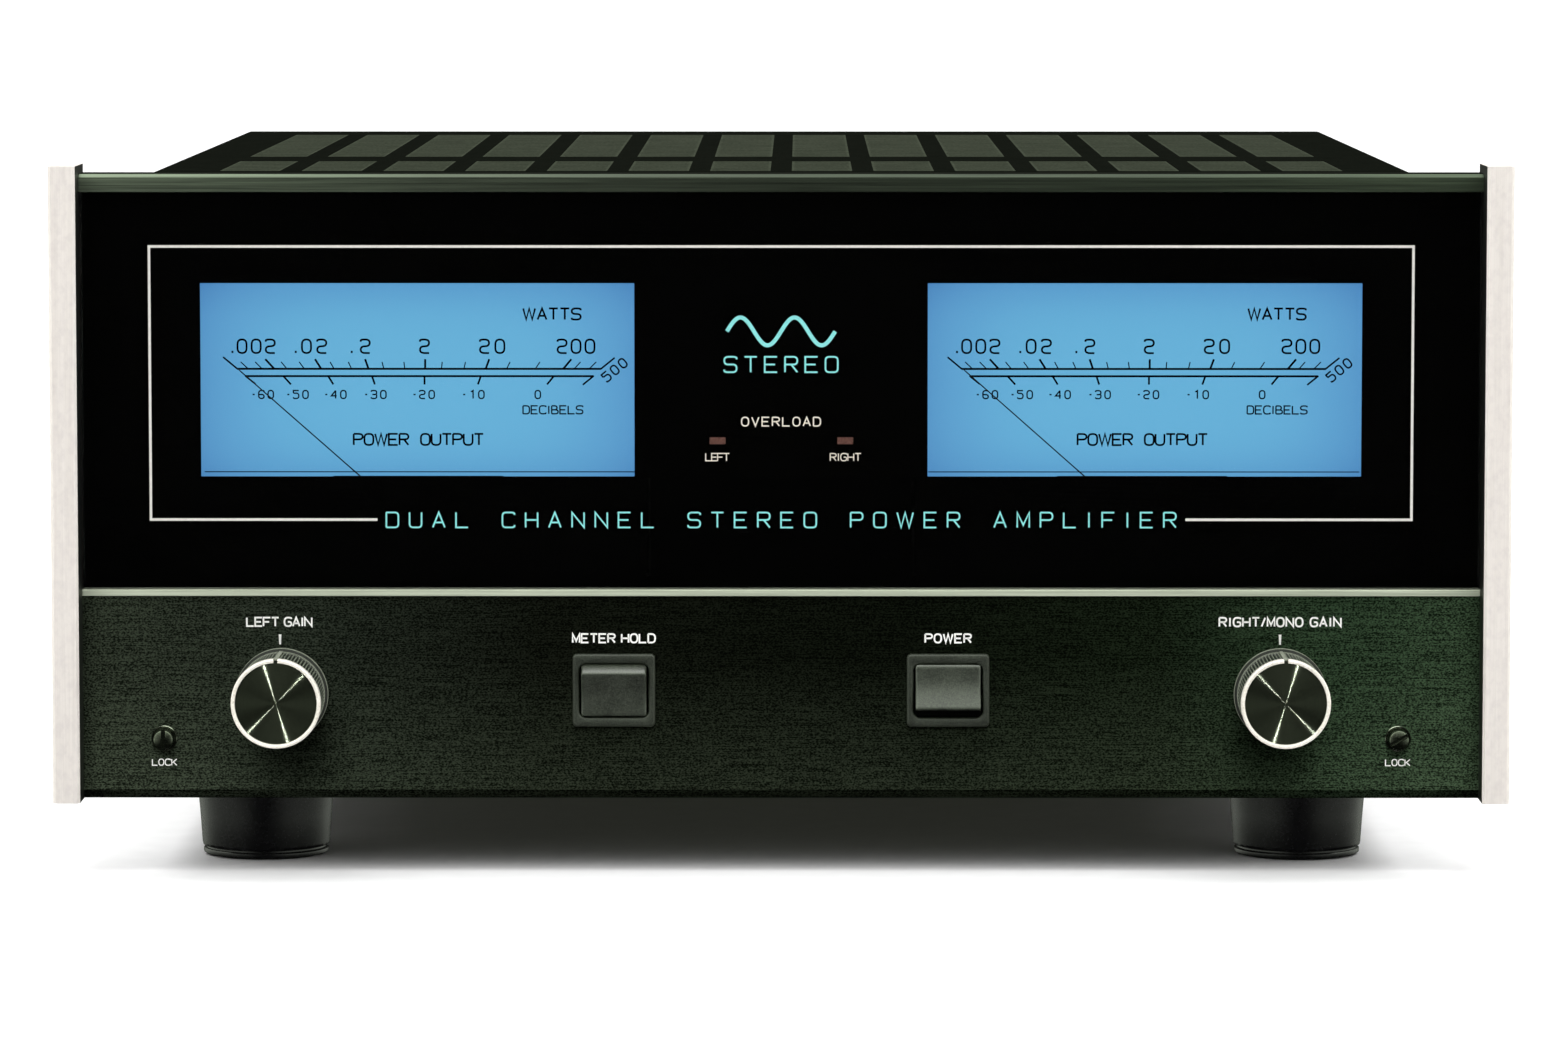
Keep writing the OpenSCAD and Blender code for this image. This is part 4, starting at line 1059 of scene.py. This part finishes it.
def feet():
    """Turned feet with a groove above the base ring, and a ribbed rubber pad under each."""
    pad_top = 3.0
    foot_low, foot_high = box("foot_front_left")
    foot_top = foot_high.z
    top_radius = (foot_high.x - foot_low.x) / 2
    base = top_radius - 1.95
    profile = [(5.5, pad_top), (base - 1.4, pad_top), (base - 1.3, 0.6), (base - 0.5, 0.4),
               (base - 0.1, 0.7), (base, 1.2), (base, 1.7), (base - 0.2, 1.95), (base - 0.7, 2.1),
               (base - 0.7, 2.5), (base - 0.1, 2.65), (base + 0.2, 2.95), (base + 0.35, 3.6),
               (base + 0.95, 12), (top_radius - 0.25, 20.5), (top_radius, foot_top - 0.6),
               (top_radius - 0.3, foot_top), (2.2, foot_top), (2.2, 10), (5.5, 10)]
    rubber = [(5.6, 0), (8, 0), (8.3, 0.5), (9.3, 0.5), (9.6, 0), (12, 0), (12.3, 0.5), (13.3, 0.5),
              (13.6, 0), (base - 2.2, 0), (base - 1.6, 0.4), (base - 1.45, 0.9),
              (base - 1.45, pad_top - 0.02), (5.6, pad_top - 0.02)]
    pads = Shape()
    for end in ("front", "rear"):
        for side in ("left", "right"):
            node = f"foot_{end}_{side}"
            centre = middle(node)
            place = Matrix.Translation((centre.x, centre.y, 0))
            foot = Shape().lathe(profile, 128, place, closed=True)
            make(f"{end}_{side}_foot", foot, "foot_black", replaces=[node])
            pads.lathe(rubber, 96, place, closed=True)
    make("rubber_pads", pads, "pad_rubber", replaces=["foot_pads"])


feet()

# ---- rear connectors ----


def rear_connectors():
    """Phono sockets, ribbed terminal caps, a fuse cap and the plain words round them."""
    jack_low, jack_high = box("input_jacks")
    jack_radius = (jack_high.z - jack_low.z) / 2
    metal = Shape()
    for side, x, colour in (("left", jack_low.x + jack_radius, "white"),
                            ("right", jack_high.x - jack_radius, "red")):
        place = towards_rear(x, rear_y, 75)
        metal.lathe([(1.6, 4), (1.6, 10.6), (1.9, 11), (3.9, 11), (4.15, 10.7), (4.15, 2.2), (5.6, 2),
                     (6.0, 1.6), (6.0, 0.03), (4.4, 0.03), (4.4, -10), (2.4, -10), (2.4, 4)],
                    96, place, closed=True)
        rim = Shape().lathe([(1.7, 10.0), (2.3, 10.0), (2.3, 11.05), (3.3, 11.05), (3.3, 9.4), (1.7, 9.4)],
                            64, place, closed=True)
        make(f"{side}_jack_insulator", rim, f"insulator_{colour}")
    make("phono_sockets", metal, "gold_plate", replaces=["input_jacks"])

    for number in range(1, 5):
        node = f"post_cap_{number}"
        centre = middle(node)
        length = depth_of(node)
        place = towards_rear(centre.x, low(node).y, centre.z)
        cap = Shape().lathe([(3.62, 0), (6.4, 0), (6.7, 0.3), (6.7, 1.5), (6.3, 1.9), (7.0, 2.6, 0.5),
                             (7.0, length - 1.4, 0.5), (6.6, length - 0.6, 0.2), (5.9, length), (4.1, length),
                             (3.62, length - 0.5)], 288, place, closed=True, teeth=24)
        finish = "cap_red" if number in (2, 4) else "cap_black"
        make(f"terminal_cap_{number}", cap, finish, node, [node], smooth=24)

    node = "fuse_cap"
    centre = middle(node)
    place = towards_rear(centre.x, rear_y + 3.2, centre.z)
    proud = high(node).y - rear_y - 3.2
    cap = Shape().lathe([(2.6, -16), (2.6, 0), (6.8, 0), (7.0, 0.2), (7.0, 0.9), (6.9, 1.2, 0.4),
                         (6.7, proud - 1.2, 0.4), (6.2, proud - 0.4), (5.6, proud)], 216, place, teeth=18)
    arrow = proud - 0.02
    cap.block((-0.6, -4.6, arrow - 0.3), (0.6, 4.6, arrow), 0.1, place)
    make("fuse_knob", cap, "cap_black", "fuse_cap", [node], smooth=24)

    words = Shape()
    place = towards_rear(0, rear_y + 0.005, 0)
    lines = [("INPUTS", 3.4, 20, -129, 95.5), ("L", 2.8, 2.0, -142, 87), ("R", 2.8, 2.2, -116, 87),
             ("SPEAKERS", 3.4, 28, 0, 100.5), ("LEFT", 2.9, 10.5, -25.5, 91),
             ("RIGHT", 2.9, 13, 25.5, 91), ("STEREO", 2.5, 14.5, -89.5, 89.5),
             ("MONO", 2.5, 10.5, -69.5, 89.5), ("MODE", 3.4, 13, -80, 95.5),
             ("FUSE", 3.4, 12, 86, 95.5), ("AC INPUT", 3.4, 22, 132, 97.5)]
    for text, cap_height, width, x, z in lines:
        lettering(words, text, cap_height, width, (-x, z), place, 0.17)
    thickness = 0.04
    arm = 1.7
    sign_z = 62.5
    for x in (35, 16, -16, -35):
        ribbon(words, [(x - arm, sign_z), (x + arm, sign_z)], 0.6, thickness, place)
        if x in (16, -35):
            ribbon(words, [(x, sign_z - arm), (x, sign_z + arm)], 0.6, thickness, place)
    for side in (-1, 1):
        corners = [(side * 7, 86), (side * 7, 57), (side * 44, 57), (side * 44, 86)]
        ribbon(words, corners, 0.4, thickness, place)
    for start, end in ((152, 106), (104, 62), (-72, -100), (-103, -161)):
        ribbon(words, [(start, 53.5), (end, 53.5)], 0.4, thickness, place)
    make("rear_print", words, "paint_white")


rear_connectors()

# ---- floor, light and air ----


def studio():
    """A pale floor, bright air above it, one wide lamp overhead and narrow lamps for the spun faces."""
    floor_mesh = bpy.data.meshes.new("floor")
    reach = 30
    corners = [(-reach, -reach, 0), (reach, -reach, 0), (reach, reach, 0), (-reach, reach, 0)]
    floor_mesh.from_pydata(corners, [], [(0, 1, 2, 3)])
    floor_mesh.materials.append(FINISHES["pale_floor"])
    floor = put_in_scene("floor", floor_mesh)
    floor.visible_glossy = False

    world = bpy.data.worlds.new("studio")
    scene.world = world
    world.use_nodes = True
    world.cycles.sampling_method = "NONE"
    air = Nodes(world.node_tree)
    direction = air.add("TexCoord", {}, "Generated")
    side, forward, rise = [air.add("SeparateXYZ", {0: direction}, letter) for letter in "XYZ"]

    def smooth(value, *ends):
        return air.spread(value, *ends, "SMOOTHSTEP")

    walls = air.times(smooth(air.math("ABSOLUTE", side), 0.1, 0.85, 0.0, 1.3),
                     smooth(rise, -0.4, 0, 0, 1))
    ceiling = smooth(air.minus(rise, air.times(forward, 0.35)), 0.35, 1.0, 0.0, 2.0)
    mirrored = air.plus(air.plus(walls, ceiling), 0.015)
    overhead = smooth(rise, 0.08, 0.85, 0.12, 1.8)
    seen, glossy = [air.add("LightPath", {}, f"Is {kind} Ray") for kind in ("Camera", "Glossy")]
    other = air.minus(air.minus(1.0, seen), glossy)
    unseen = air.plus(air.times(glossy, mirrored), air.times(other, overhead))
    background = air.tree.nodes["Background"]
    air.put(air.plus(seen, unseen), background.inputs["Strength"])
    air.put(air.blend(glossy, (1, 1, 1), (0.93, 1, 0.87)), background.inputs["Color"])

    lamp_data = bpy.data.lights.new("softbox", "AREA")
    lamp_data.shape = "RECTANGLE"
    lamp_data.size = 2.6
    lamp_data.size_y = 1.8
    lamp_data.energy = 38
    put_in_scene("softbox", lamp_data).location = (0, 0.15, 1.9)

    for side, face in spun_faces.items():
        lit = bpy.data.collections.new(f"{face.name}_lit")
        lit.objects.link(face)
        sight = (camera.location - face.matrix_world.translation).normalized()
        for name, lean, energy in (("steep", 17, 0.5), ("level", -44, 0.28)):
            turn = math.radians(side * lean)
            halfway = Vector((math.sin(turn) * FLANK_SLOPE, -1, math.cos(turn) * FLANK_SLOPE)).normalized()
            spark_data = bpy.data.lights.new(f"{name}_spark", "SUN")
            spark_data.energy = energy
            spark_data.angle = math.radians(0.6)
            spark = put_in_scene(f"{name}_spark", spark_data)
            ray = sight - 2 * halfway.dot(sight) * halfway
            spark.rotation_euler = ray.to_track_quat("-Z", "Y").to_euler()
            spark.visible_diffuse = False
            spark.light_linking.receiver_collection = lit


studio()
